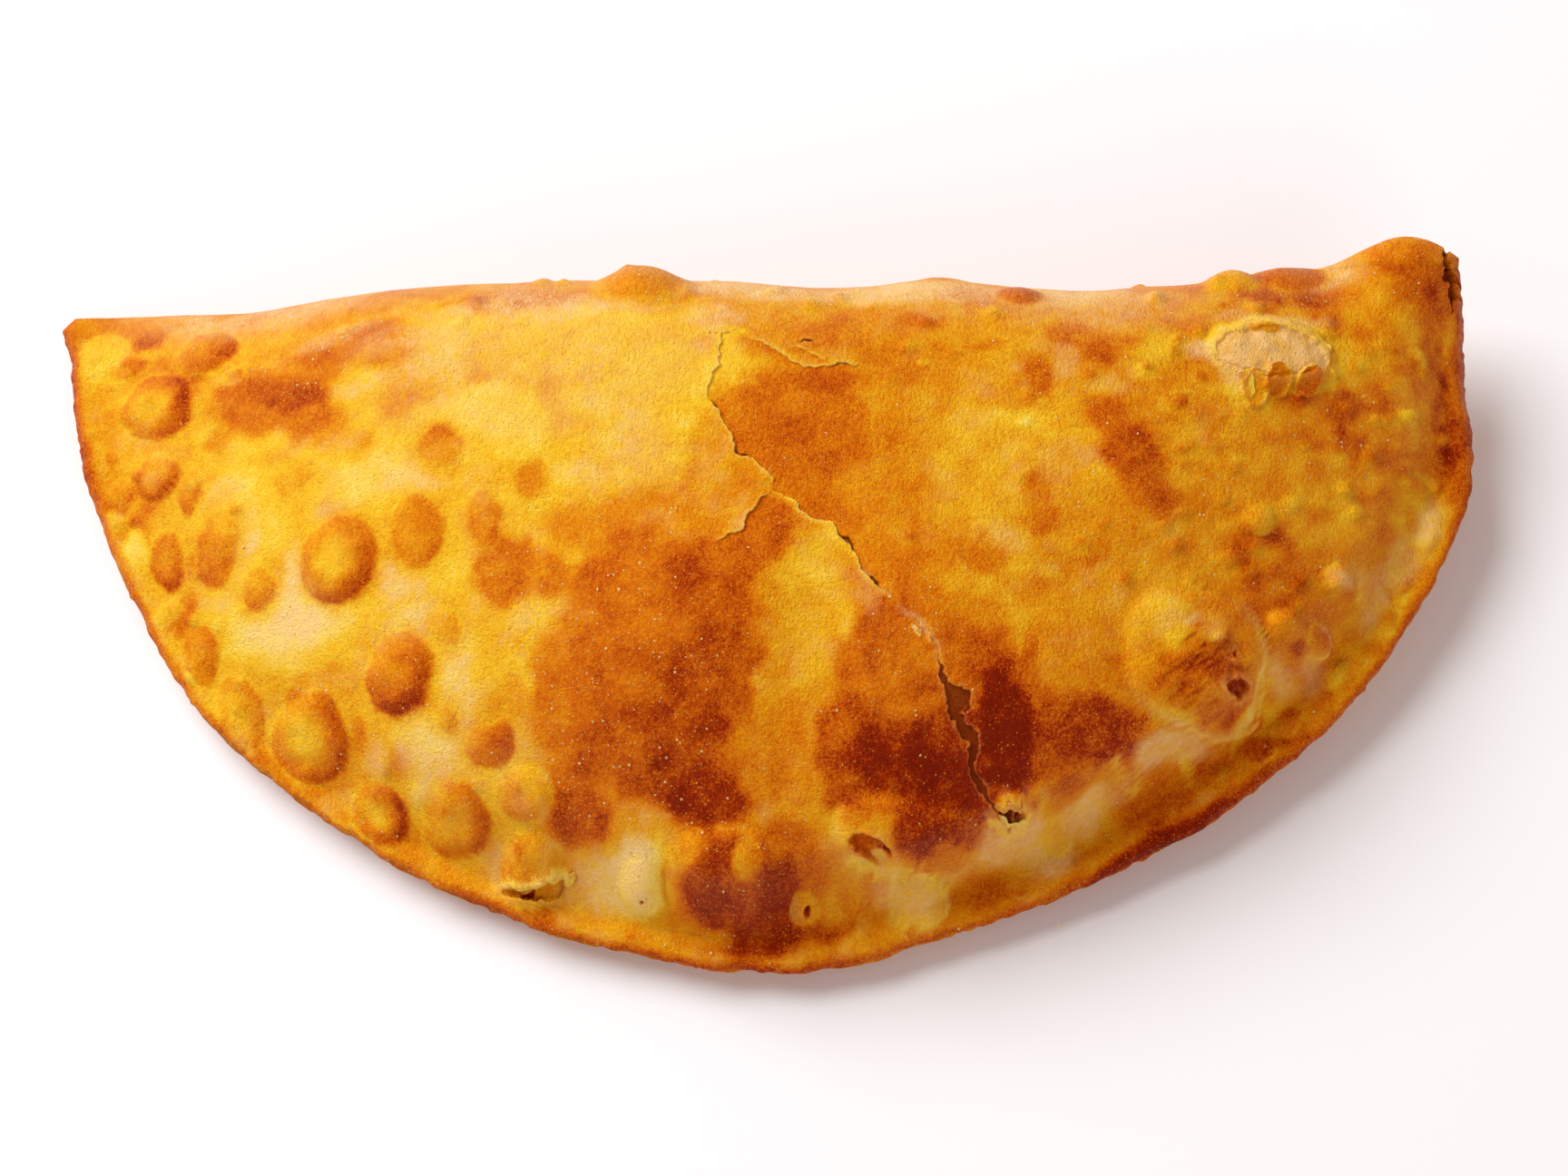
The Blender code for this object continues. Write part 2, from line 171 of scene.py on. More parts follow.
# Blisters: x, y, half length, half width, turn, steepness, browning, then, where they aren't the usual 0
# and 1, the side laid darkest, mostly the right and lower right away from the light, so browning with painted
# shade on it, and how much of the browning the middle has
blisters = (
    (-93, 36.8, 4.2, 3.4, 20, 0.2, 0.14, 300), (-88.6, 34.4, 3.2, 1.3, 12, 0.22, 0.5),
    (-83.9, 27.7, 5.7, 4.9, -10, 0.3, 0.62, 10, 0.42), (-77.2, 34.4, 4.6, 3.5, 18, 0.24, 0.6, 10, 0.85),
    (-72.8, 30.3, 1.9, 1.2, 20, 0.2, 0.52), (-93.5, 21.4, 1.3, 1.5, 0, 0.4, 0.08),
    (-83.4, 17.8, 3.5, 3.3, 0, 0.32, 0.6, 290, 0.65), (-89.2, 16, 2.8, 2.2, 60, 0.26, 0.6, 300, 0.9),
    (-89.6, 13, 1.7, 1.2, 0, 0.3, 0.34), (-82, 6.3, 4.6, 2.7, 100, 0.26, 0.68, 300, 0.7),
    (-86.6, 8.2, 3.6, 1.7, 105, 0.22, 0.14), (-74.4, 6.4, 5.6, 3.3, 84, 0.24, 0.5, 285, 0.9),
    (-78.5, 14.8, 3.4, 1.7, 86, 0.2, 0.52, 270), (-82.2, -0.6, 2.4, 1.5, 20, 0.26, 0.22),
    (-76.9, -6.6, 3.9, 2.9, 105, 0.28, 0.55, 0, 0.8), (-68.4, 0.6, 3.5, 2.3, 95, 0.2, 0.46, 280, 0.9),
    (-70.9, -14.4, 5.2, 3, 112, 0.3, 0.46, 350, 0.6), (-63.8, -13.4, 1.9, 1.4, 0, 0.24, 0.54),
    (-61.2, -18.8, 6, 5.2, 130, 0.36, 0.62, 325, 0.34), (-57.2, 2.5, 5.6, 5.4, 100, 0.36, 0.58, 305, 0.45),
    (-46.7, 5, 5, 3.9, 98, 0.18, 0.52, 350, 0.85), (-43.2, 16, 3.4, 3.3, 90, 0.13, 0.45, 100, 0.95),
    (-37.4, 5.6, 4.2, 2.8, 95, 0.16, 0.52, 350, 0.95), (-48.6, -12.7, 5.3, 4.7, 100, 0.36, 0.66, 290, 0.9),
    (-42.3, -7.9, 2.7, 1.9, 105, 0.22, 0.34), (-42.4, -18.8, 2, 1.8, 90, 0.24, 0.42),
    (-36.6, -22.4, 3.6, 2.7, 0, 0.24, 0.6, 330, 0.95), (-51.8, -29, 4.4, 3.6, -35, 0.34, 0.66, 330, 0.3),
    (-41.3, -30.6, 4.8, 4.3, -20, 0.34, 0.58, 340, 0.7), (-32.2, -28.4, 4, 3.4, -20, 0.34, 0.42, 250, 0.9),
    (-2.8, -36.2, 1.9, 1.8, 0, 0.42, 0.46), (38.4, -32.6, 1.7, 1.2, 40, 0.24, 0.28),
    (72.6, -6.6, 2.4, 1.9, 0, 0.4, 0.42), (67.2, -5.8, 2.3, 2, 0, 0.7, 0.54, 0, 0.9),
    (63.6, -16.6, 2.6, 1.4, 30, 0.28, 0.6), (68.2, -16.2, 2.6, 1.9, 30, 0.34, 0.7),
    (64.2, -19.7, 2.5, 1.9, 20, 0.3, 0.74), (74.4, -9.8, 2.2, 1.9, 30, 0.7, 0.56, 180, 0.8),
    (82.4, -1.6, 3.2, 1.8, 75, 0.3, 0.42), (75.9, 12.4, 1.3, 1.2, 0, 0.7, 0.46),
    (79.8, 17.6, 1.2, 1.1, 0, 0.6, 0.56), (86.3, 15.2, 1.6, 1.1, 20, 0.6, 0.56),
    (89.3, 15.8, 1.1, 0.9, 20, 0.6, 0.56), (80.1, 22.4, 1, 0.8, 0, 0.6, 0.4),
    (84.9, 23.6, 1.1, 0.9, 0, 0.6, 0.4), (87, 30.4, 0.9, 1.1, 0, 0.6, 0.44),
    (84.4, 2.4, 1.8, 1.6, 0, 0.5, 0.44), (88.4, 9.4, 1.5, 4, -18, 0.6, 0.36),
    (48.5, 25.2, 1.4, 1.1, 60, 0.28, 0.38), (52.6, 21.5, 1.9, 1.5, 0, 0.24, 0.6),
    (56.2, 25.6, 1.1, 1.4, 0, 0.24, 0.5), (66.6, 29.3, 8.9, 5.6, 0, 0.26, 0.3, 0, 0.9),
    (32, -31, 2.8, 1.5, 5, 0.24, 0.5, 0, 0.9),
)
usualBlister = (0, 1)

# Large blisters with a crisp edge: x, y, half length, half width, turn, height, squareness, browning (0
# leaves the washes as they are), the edge's browning and pallor, side where the edge shows (360 all round)
domes = (
    (54.9, -11.4, 9.5, 8.4, -8, 1.9, 2.7, 0, 0.26, 0.4, -50),
    (17.4, -34, 9.6, 3.9, -6, 1.6, 2.5, 0, 0.26, 0.2, -95),
    (-5.6, -39.2, 8.6, 5.9, -8, 2, 2.4, 0, 0.4, 0, 130),
    (19.3, -40.5, 3.9, 3.2, 0, 1.8, 2.2, 0.23, 0.14, 0.2, 360),
    (-31.7, -37, 4.2, 4.1, 10, 2.3, 2.2, 0.38, 0.28, 0, 180),
    (-17.2, -39.2, 3.3, 3.3, 0, 1.4, 2, 0.06, 0.02, 0.3, 180),
    (4.3, -41.7, 1.7, 1.6, 0, 0.9, 2, 0.38, 0.3, 0, 200),
    (75.1, 0.1, 2.7, 2.5, 0, 1.2, 2, 0.38, 0.26, 0.06, 150),
    (37.9, -32.7, 2.2, 1.7, 15, 0.45, 2, 0.24, 0.14, 0.3, 10),
    (55.5, -23, 1, 0.9, 0, 0.5, 2, 0.3, 0.14, 0.16, 120),
    (72.2, -6.8, 1.5, 1.7, 0, 0.9, 2, 0.4, 0.14, 0.45, 0),
    (63.6, 6.8, 2.4, 2.2, 0, 1.2, 2, 0.26, 0.24, 0, 130),
)

# Crumpled skin: x, y, half length, half width, turn, size of the folds, height
crumples = (
    (55.8, -13.2, 7.4, 5.4, -8, 0.8, 0.22), (18.4, -16.5, 6, 8.5, 0, 1, 0.1),
    (-8, -38, 7, 4.6, -8, 1.3, 0.1), (-16, -22, 11, 9, 0, 1.2, 0.07), (29.4, -22, 4, 8, 0, 1, 0.08),
    (-31.7, -35.4, 3.2, 2, 0, 0.9, 0.1),
)

# Thin lines on the skin: browning, pallor, then points of x, y, half width, rise
lines = (
    (0.1, 0.1, (
        (-35.5, -37.3, 0.3, 0.3), (-33.8, -37.5, 0.42, 0.5), (-31.6, -37.6, 0.46, 0.5),
        (-29.4, -37.4, 0.42, 0.5), (-27.2, -37.9, 0.4, 0.5), (-26.7, -38.7, 0.2, 0.2))),
    (0.3, 0, (
        (-35.4, -38.6, 0.3, 0.2), (-34.4, -40.2, 0.45, 0.4), (-31.8, -40.9, 0.5, 0.5),
        (-29.2, -40.4, 0.45, 0.4), (-27.6, -39.2, 0.3, 0.2))),
    (0.22, 0.14, (
        (10.6, -36.6, 0.1, 0.1), (12.4, -37.4, 0.35, 0.2), (14.8, -37.8, 0.5, 0.3), (17.4, -37.3, 0.25, 0.2),
        (19.4, -36.9, 0.05, 0))),
    (0.18, 0.2, (
        (28.4, -32.4, 0.3, 0), (30.4, -32.9, 0.5, 0.1), (32.6, -32.4, 0.5, 0.1), (33.4, -31.2, 0.2, 0))),
    (0.24, 0.26, (
        (50, -19.6, 0.05, 0), (55.2, -19.9, 0.14, 0.1), (60.6, -19.2, 0.18, 0.2), (64, -17.4, 0.22, 0.2),
        (64.8, -14.6, 0.16, 0.2), (64.4, -10.8, 0.12, 0.1), (63.2, -6.8, 0.06, 0))),
    (0.16, 0.4, ((63.2, -16.6, 0.35, 0.2), (62.6, -15.8, 0.3, 0.2))),
    (0.3, 0.1, (
        (44.4, -24.2, 0.3, 0), (46.6, -26.8, 0.35, 0.1), (48.8, -26.4, 0.3, 0.1), (48, -24.6, 0.2, 0))),
)

# Blisters on the rolled fold: x, y, half length, half width, height, browning
foldBlisters = (
    (-17.4, 39.4, 6.8, 4.6, 2.5, 0.42), (33, 37.2, 3.6, 2.4, 0.9, 0.6), (62.2, 41.6, 4.2, 2.8, 1.5, 0.34),
    (70, 42.4, 6, 3, 1.2, 0.62), (23, 42, 4, 1.6, 0.3, 0.4),
)

# Small bumps scattered by rule: count, from x, to x, from y, to y, least and most half size
pimples = {
    "seed": 23,
    "fields": (
        (95, 50, 92, -24, 38, 0.5, 1.3), (40, -96, -70, -14, 40, 0.5, 1.2),
        (40, -70, -14, -46, -22, 0.4, 1.1), (30, 4, 52, -46, -26, 0.4, 1.1),
        (26, -60, 86, 33, 42, 0.6, 1.6), (40, 14, 56, -6, 32, 0.5, 1.2)),
}

# Broad swells and hollows: x, y, half length, half width, turn, height
swells = (
    (-17, -12, 20, 13, 60, 0.9), (3, -14, 20, 6.5, 80, -0.7), (17, -19, 15, 10, 70, 1),
    (36, -17, 13, 10, 0, 1.2), (-24, 22, 20, 12, 10, 0.7), (8, 17, 16, 11, -20, 0.8),
    (-30, -36, 14, 5, -25, -0.8), (44, -29, 19, 3.5, 35, -1), (47, 12, 9, 5, -65, 0.5),
    (68, 28, 12, 8, 0, 0.8), (87, 31, 13, 13, 0, 1.6),
)

# Cracks: points of x, y, half width, depth. The sheet on the right of the way along lies proud by the step.
# Tones: browning and reach in mm of the proud sheet, then of the low one. Rim: how bright both edges are.
cracks = {
    "upperPlate": {
        "step": 0.26, "tones": (0.12, 1.2, 0.16, 1.2), "rim": 0,
        "route": (
            (-4, 29.7, 0, 0.2), (-6.8, 30.2, 0, 0.2), (-6.6, 27.7, 0, 0.2), (-6.8, 25.8, 0, 0.3),
            (-7.7, 24.5, 0, 0.3), (-8.1, 22.6, 0.02, 0.3), (-8.2, 20.6, 0.06, 0.4))},
    "main": {
        "step": 0.34, "tones": (0.3, 0.9, 0.54, 2.4), "rim": 0,
        "route": (
            (-8.2, 20.6, 0.04, 0.4), (-7.6, 19.9, 0.1, 0.4), (-6.7, 18.8, 0.03, 0.3), (-6, 17.2, 0.02, 0.3),
            (-4.9, 14.6, 0, 0.3), (-4.4, 12.8, 0.12, 0.4), (-3.5, 12.6, 0.12, 0.4), (-2.5, 12.4, 0.03, 0.3),
            (-1.4, 11.1, 0, 0.3), (0.3, 9.8, 0, 0.3), (0.1, 7.9, 0.03, 0.4))},
    "tongue": {
        "step": 0.28, "tones": (0.3, 0.9, 0.6, 2), "rim": 0,
        "route": (
            (0.1, 7.9, 0.03, 0.4), (-1.2, 6.9, 0.02, 0.3), (-2.2, 5.6, 0, 0.3), (-3.4, 4, 0, 0.3),
            (-4, 2.4, 0, 0.3), (-5.4, 2.1, 0, 0.3), (-7.8, 0.7, 0, 0.1))},
    "middle": {
        "step": 0.3, "tones": (0.14, 0.8, 0.5, 1.4), "rim": 0,
        "route": (
            (0.1, 7.9, 0.03, 0.3), (1.5, 7.7, 0, 0.3), (3.2, 7, 0, 0.3), (3.6, 5.6, 0.03, 0.3),
            (5.8, 4, 0.02, 0.3), (7.7, 4, 0, 0.3), (8.6, 2.4, 0.04, 0.4), (9.6, 1.4, 0.26, 0.5),
            (10.7, -0.1, 0.05, 0.3), (11.6, -1.9, 0.02, 0.3), (12.3, -3, 0.02, 0.4), (13.5, -4.1, 0.2, 0.6),
            (14.1, -4.9, 0.03, 0.4), (16.2, -6.4, 0, 0.2))},
    "open": {
        "step": 0, "tones": (0.6, 0, 0.6, 0), "rim": 0.35,
        "route": (
            (16.2, -6.4, 0, 0.1), (18.9, -9.3, 0.03, 0.2), (20.4, -11.4, 0.05, 0.2),
            (20.9, -13.3, 0.05, 0.3), (21.5, -14.9, 0.2, 0.35), (22, -16.2, 0.42, 0.4),
            (22.9, -17.1, 0.7, 0.45), (23.8, -18, 1.05, 0.5), (23.9, -19, 1, 0.5), (23.3, -20, 0.82, 0.5),
            (23.7, -21, 0.66, 0.45), (24.2, -21.8, 0.66, 0.45), (25.2, -22.5, 0.9, 0.5),
            (25.6, -23.4, 0.8, 0.5), (25.8, -24.3, 0.66, 0.5), (25.6, -25.2, 0.62, 0.45),
            (25.8, -26.2, 0.46, 0.4), (25.9, -27.1, 0.36, 0.4), (26.4, -28, 0.44, 0.4),
            (27, -28.8, 0.36, 0.4), (27.6, -29.6, 0.26, 0.35), (28.1, -30.5, 0.14, 0.35),
            (28.9, -31.2, 0.24, 0.4), (29.8, -31.5, 0.3, 0.5))},
    "ridge": {
        "step": 0.22, "tones": (0.2, 0.7, 0.52, 1), "rim": 0,
        "route": (
            (12, 24.8, 0, 0.2), (9.5, 25.4, 0.08, 0.4), (7, 25, 0, 0.3), (4.2, 24.9, 0, 0.3),
            (2, 26.5, 0, 0.3), (-1, 28.2, 0, 0.3), (-4, 29.7, 0, 0.2))},
    "ridgeSpur": {
        "step": 0.16, "tones": (0.34, 0.5, 0.52, 0.6), "rim": 0,
        "route": (
            (7, 25.4, 0, 0.2), (6.2, 26.1, 0, 0.2), (4.4, 27.5, 0, 0.2), (2.4, 27.8, 0, 0.1))},
    "ridgeHole": {
        "step": 0, "tones": (0.5, 0, 0.5, 0), "rim": 0.3,
        "route": ((3.4, 28.5, 0.05, 0.3), (4.4, 28.8, 0.2, 0.5), (5.6, 28.6, 0.05, 0.3))},
    "corner": {
        "step": 0.1, "tones": (0.74, 1.4, 0.66, 1.2), "rim": 0.1,
        "route": (
            (91, 46.2, 0.4, 1), (91.3, 44.6, 0.62, 1.6), (91.7, 42.8, 0.72, 1.6), (92.1, 41, 0.52, 1.4),
            (92.5, 39.6, 0.2, 0.8), (92.6, 38.2, 0, 0.3))},
    "crease": {
        "step": 0, "tones": (0.7, 0.5, 0.7, 0.5), "rim": 0,
        "route": ((90, 30.4, 0.05, 0.3), (91, 29.6, 0.16, 0.5), (92.2, 28.9, 0.05, 0.3))},
}
plateEdge = ("upperPlate", "main", "middle")  # the broken plate lies on the left of these

# Torn places: x, y, half length, half width, turn, depth, browning and pallor of the floor, edge's paleness
tears = (
    (-31.2, -38.9, 3.7, 1.25, -4, 1, 0.36, 0, 0.2), (-32.2, -39.3, 0.9, 0.45, 30, 0.5, 0.84, 0, 0),
    (12.8, -35.5, 2.7, 1.15, -17, 1.1, 0.64, 0, 0.1), (15, -35.7, 0.7, 0.4, -30, 0.3, 0.86, 0, 0),
    (14, -36.3, 1.2, 0.5, -10, 0, 0.2, 0.2, 0), (31, -31.5, 1.7, 0.5, 5, 0.8, 0.88, 0, 0.4),
    (30.6, -31.4, 0.35, 1, 12, 0.8, 0.9, 0, 0.2), (31.9, -31.3, 0.22, 0.8, -25, 0.7, 0.9, 0, 0.2),
    (60.3, -14.2, 1.5, 0.8, 8, 0.9, 0.82, 0, 0.3), (59.4, -10.8, 0.5, 0.35, 60, 0.3, 0.8, 0, 0.2),
    (65.8, 29, 7.4, 3.3, 3, 0.36, 0.3, 0.56, 0.2), (4.3, -41.8, 0.25, 0.45, -10, 0.8, 0.95, 0, 0),
    (-16.4, -40.5, 0.25, 0.22, 0, 0.6, 0.9, 0, 0),
)

# Scraps of crust left in and round the opened blister: x, y, half length, half width, turn, rise, browning,
# side that is pale
scraps = (
    (66, 29.9, 8.1, 3.7, 3, 0.12, 0.18, 100), (63.2, 24, 2.4, 1.7, 104, 0.34, 0.38, 0),
    (66, 25.4, 2.2, 1.7, 80, 0.3, 0.5, 0), (70.2, 25.6, 2.1, 1.6, 50, 0.32, 0.58, 130),
    (64.6, 32.2, 2.2, 0.6, -4, 0.1, 0.36, 90),
)

# Browning laid over the crust like washes, the later ones on top: x, y, half length, half width, browning,
# then, where they aren't the usual 0 and 0.5, the turn and the softness of the edge
usualStroke = (0, 0.5)
washes = (
    # the pale left, from the ridge down to the front
    (-62, 10, 42, 34, 0.19), (-25, 22, 26, 14, 0.19, 5), (-36, 19, 6, 5, 0.12, 0, 0.7),
    (-53, 12, 5, 4, 0.13, 20, 0.7), (-12, 20, 7, 11, 0.19), (-36, 28, 9, 3, 0.22, -10, 0.6),
    # (-64, -5) is pale dough with a painted highlight
    (-25, 21.5, 5, 4, 0.24, 0, 0.7), (-64, -5, 9, 4.6, 0.06, 8, 0.6), (-72, 12, 5, 5, 0.14, 0, 0.7),
    (-62, 8, 4, 7, 0.24, 10, 0.7), (-61, -12.5, 9, 4, 0.3, -5), (-48, -22, 12, 6, 0.24, -20),
    (-42, -13, 5, 5, 0.12, 0, 0.6), (-44, -20.5, 4, 2.4, 0.1, -20, 0.6), (-38, -10, 5, 8, 0.2),
    (-34, -26, 5, 8, 0.26), (-54, -24, 4, 5, 0.28, 0, 0.6), (-88, 22, 9, 26, 0.3, 0, 0.4),
    (-80, 33, 9, 8, 0.32), (-72, 33, 9, 7, 0.3), (-60, 27, 14, 8, 0.37), (-55, 31, 7, 3.6, 0.42, 10),
    (-55.5, 25.4, 3.6, 2.6, 0.2), (-62, 22, 5, 2.6, 0.42), (-66, 18.5, 10, 2.2, 0.22, 0, 0.6),
    (-93, 37, 3.6, 3.6, 0.12, 30, 0.4), (-91, 42, 9, 2.6, 0.5, 0, 0.4), (-85.6, 38.6, 1.9, 1.7, 0.74),
    (-80.5, 31.5, 3.4, 4.5, 0.54, 30, 0.4), (-68, 38.5, 14, 3.6, 0.38, -3), (-46, 41.5, 9, 3, 0.44),
    (-56, 36, 10, 2.4, 0.32, 0, 0.6), (-28, 39, 12, 3.4, 0.36), (-15, 37.4, 9, 3.2, 0.38, 0, 0.6),
    (-8, 31.8, 4.4, 2.2, 0.2), (-69, 25.5, 7.2, 3.8, 0.54, -12, 0.35), (-63.5, 25.2, 3.6, 2, 0.74, -12),
    (-60.5, 20.6, 4.2, 2.4, 0.44, -30), (-57, 31.8, 6.4, 2, 0.56, 14, 0.45),
    (-48.6, 23.5, 3.2, 2.4, 0.42, 10), (-64.3, 14.6, 2.3, 2, 0.34), (-54, 17, 1.6, 2, 0.32, 0, 0.6),
    (-38.9, 25.1, 1.8, 1.4, 0.32), (-28.6, 22.6, 2.8, 2.2, 0.31), (-31.4, 10.6, 2.9, 2.7, 0.46, 0, 0.4),
    (-49, -22.6, 2, 2.2, 0.36, 30), (-86.5, 14.6, 4.2, 1.8, 0.6, -10, 0.4),
    (-79.6, -1.6, 1.8, 3, 0.52, -20, 0.4), (-66.8, -23, 6, 2, 0.46, -48),
    # the big brown patch left of the middle
    (-34.6, -0.6, 4.6, 5.2, 0.53, 0, 0.3), (-19, 4.2, 9, 3.8, 0.45, 0, 0.35),
    (-8, 9, 4.6, 6, 0.42, -20, 0.4), (-10, 4, 5, 5, 0.42), (-15, -7, 12.4, 10, 0.53, 10, 0.22),
    (-20, -19, 11, 12, 0.55, 20, 0.22), (-9, -16, 8.5, 17, 0.63, 0, 0.22), (-22, -2.6, 3, 2.2, 0.62),
    (-18, 1.4, 2.2, 1.8, 0.61), (-10.5, -3.6, 3.2, 3.2, 0.71, 0, 0.4), (-6, -9, 1.8, 3.4, 0.69),
    (-9.5, -15, 5, 4.4, 0.71), (-6.5, -20, 2.6, 4.2, 0.72), (-16, -24, 8.5, 4.6, 0.7, -15, 0.35),
    (-24, -26, 3.2, 1.6, 0.66), (-13, -26, 3.2, 3.6, 0.8), (-8.5, -29.6, 5.4, 3.2, 0.84, -10, 0.35),
    (-5.5, -30.6, 2.4, 1.6, 0.94), (-25.2, -31, 3.8, 3.6, 0.64, 0, 0.3), (-25.5, -32.2, 3, 1.2, 0.74),
    # the yellow tongue between the two brown patches
    (6.2, -2.6, 4.6, 6.6, 0.27, -8, 0.2), (6, -1.4, 2.4, 3.2, 0.2, -8), (4.2, -10.5, 4.2, 6, 0.28, 0, 0.3),
    (2.6, -18.5, 3.6, 6, 0.34, 0, 0.35), (1, -27, 4.4, 6, 0.45, 0, 0.35), (-1.5, -23.5, 3.6, 2.2, 0.44),
    (1, -35, 7, 2.4, 0.52),
    # pale and amber places along the front
    (-18, -38, 7.6, 6.4, 0.28, 0, 0.3), (-18, -38.5, 4.6, 3.6, 0.1), (-16.8, -33.5, 4, 2, 0.34),
    (-37, -37, 5, 2.4, 0.3, -25),
    # the crown: an amber plate, and gold to the right of it
    (56, 8, 46, 36, 0.43, 0, 0.2), (16, 18, 4.6, 16, 0.43, 0, 0.4), (30, 15, 12, 17, 0.34, 0, 0.35),
    (27, 13, 7, 7, 0.28), (32, 18.4, 4.4, 1.6, 0.16, 0, 0.6), (30.5, 3, 4, 5, 0.28), (40, 8, 4.5, 8, 0.34),
    (47, -3, 8, 7, 0.34), (58, 17, 8, 7, 0.36), (70, 17, 9, 12, 0.39, 0, 0.6), (82, 10, 8, 14, 0.38),
    (82, 2, 4, 6, 0.36, -20), (3, 31, 13, 4.6, 0.42, 0, 0.4), (10, 30, 4.2, 3.2, 0.52),
    (22, 34, 10, 4, 0.36), (20, 32.4, 3.4, 1.2, 0.5), (-10.4, 20.4, 2, 6, 0.18, 5),
    (-6.6, 13.6, 4, 5.4, 0.36, -20, 0.4), (-3.2, 10.4, 2.8, 2, 0.42, -20, 0.4),
    (-0.4, 3.4, 3.6, 3.8, 0.6, -30, 0.3), (-3.6, -0.6, 3.4, 2.6, 0.66, 0, 0.4), (15, -1, 4.6, 4.6, 0.5),
    (24, -3.6, 6.4, 1.8, 0.34), (27.2, -1, 2.6, 2.4, 0.52, 0, 0.4), (34.8, 9.4, 1.7, 3.2, 0.52, 0, 0.4),
    (35, 4.8, 2.4, 1.6, 0.53, 0, 0.4), (34.6, 24.8, 1.9, 3.2, 0.55, 0, 0.4), (28.8, 28.6, 2.2, 0.9, 0.5),
    (40, 30, 3.6, 1.6, 0.53, -10), (42.6, 28, 2.8, 1.4, 0.66, -25), (54.6, 32.4, 3.4, 1.3, 0.56, -6, 0.4),
    (55.8, 25.6, 1.2, 1.6, 0.5), (47, 13.4, 8.4, 3.8, 0.64, -62, 0.2), (43.2, 19, 2.6, 1.9, 0.6, -20, 0.4),
    (42.4, 0.8, 1.4, 1.6, 0.5), (76, 21.4, 4, 5, 0.62, 20, 0.35), (72, 19.4, 2.4, 3, 0.54),
    (80.4, 24, 2, 3, 0.54), (83, 17.5, 2.4, 2, 0.54), (82.4, 12.2, 2.4, 1.4, 0.52), (70, 24, 6, 2.2, 0.5),
    # the lower right wall
    (64, 0, 6.5, 6.5, 0.53, 0, 0.4), (62, 1.6, 1.8, 2.2, 0.66), (65.8, 5.4, 1.4, 1.2, 0.64),
    (68.8, 1.6, 1.8, 2.4, 0.6), (62, -6, 4, 3.6, 0.58), (70, -6.6, 1.8, 1.4, 0.7),
    (41, -11, 9.5, 3.6, 0.46, -5, 0.4), (17.2, -12, 6.6, 7.6, 0.57, 0, 0.25), (13, -12, 2.4, 3.6, 0.66),
    (16.4, -7.4, 1.6, 2.6, 0.64), (33.4, -9.4, 4.4, 3, 0.38), (29.4, -6.6, 4, 1.5, 0.24, -32, 0.4),
    (25.2, -10.8, 5.8, 4.4, 0.59, -30, 0.2), (28.6, -14.4, 4.6, 3.6, 0.7, 0, 0.3),
    (17, -14.4, 4.4, 5.6, 0.57, 10, 0.25), (10, -23.6, 4, 6.4, 0.66, 0, 0.25),
    (18.8, -26.6, 8, 5.4, 0.88, -20, 0.2), (22.4, -29.2, 4.2, 3, 1, -20, 0.4), (13.4, -28.4, 2.6, 2.4, 0.9),
    (29.8, -22.6, 4.2, 7.8, 0.9, 4, 0.2), (31.8, -21.8, 1.2, 3.4, 0.98), (28.4, -17.6, 1.4, 1.2, 0.94),
    (40.8, -20.8, 7, 3.8, 0.8, -6, 0.22), (39.2, -22.7, 3.6, 1.6, 0.9, 0, 0.4), (45.4, -19.8, 2, 1.6, 0.8),
    (42, -18, 1.8, 1.2, 0.84), (35.4, -19.4, 1.4, 3, 0.66), (35, -25.8, 5, 2, 0.66, 15, 0.4),
    (17, -31.6, 6.4, 2, 0.74, -6, 0.4), (22, -33.2, 3.8, 1.4, 0.74, 0, 0.4),
    # front blisters and the flange
    (-20.4, -38.6, 3.6, 3.4, 0.16, 0, 0.4), (-5.8, -39, 7.4, 5.6, 0.6, -8, 0.25),
    (-11.6, -36.6, 2.4, 2.8, 0.48), (-9, -43.2, 4, 2.4, 0.58, 0, 0.4), (-6, -35.8, 3.2, 1.6, 0.74),
    (-2.8, -36, 2, 1.8, 0.52), (-0.6, -40.6, 3.4, 4, 0.8, -10, 0.4), (-6, -41.2, 3, 2, 0.82, 0, 0.4),
    (-2, -44.4, 7, 2.4, 0.86, 0, 0.4), (6.4, -39.2, 3.4, 3, 0.6), (8, -43.8, 3.4, 1.8, 0.8),
    (12, -38.6, 5, 1.8, 0.4), (17.6, -37.6, 3.6, 1.2, 0.36), (10.6, -33.2, 3, 2, 0.4, 0, 0.4),
    (11.4, -35.6, 1.7, 1, 0.66, 0, 0.4), (19.6, -37.6, 8, 0.7, 0.3, -6),
    (12.6, -37.4, 3.4, 0.7, 0.14, -6, 0.1), (9, -33.8, 1.4, 1.4, 0.28, 0, 0.4),
    (28.6, -38.8, 4.4, 3, 0.54, 10, 0.4), (36, -34.5, 6, 3.4, 0.36, 25, 0.4), (43, -31, 5, 2.4, 0.46, 35),
    (55, -21.4, 6, 2, 0.36, 20, 0.4), (50, -26, 5, 2.2, 0.48, 30), (38.2, -38, 3, 1.4, 0.52, 25),
    # the torn blister at the right
    (56.4, -11.6, 8.4, 7, 0.5, -15, 0.3), (48.6, -8.6, 2.6, 4.4, 0.34, 10, 0.4),
    (53.6, -5.6, 3.6, 1.2, 0.36, 10), (57.4, -9.6, 3.6, 1.8, 0.74, -10, 0.4),
    (52.6, -13.6, 2.2, 2.6, 0.66, 20, 0.4), (58.4, -14.8, 3.4, 1.8, 0.72, 10, 0.4),
    (55, -17.4, 3.4, 1.2, 0.62), (61.6, -10.8, 1.4, 2.6, 0.66, -10), (58.4, -6.4, 2.6, 1.2, 0.62, -10),
    (53.4, -10.2, 1.6, 1.6, 0.42), (57.6, -17.8, 7, 0.8, 0.36, 6), (66.6, -12, 3, 2.4, 0.36, 10),
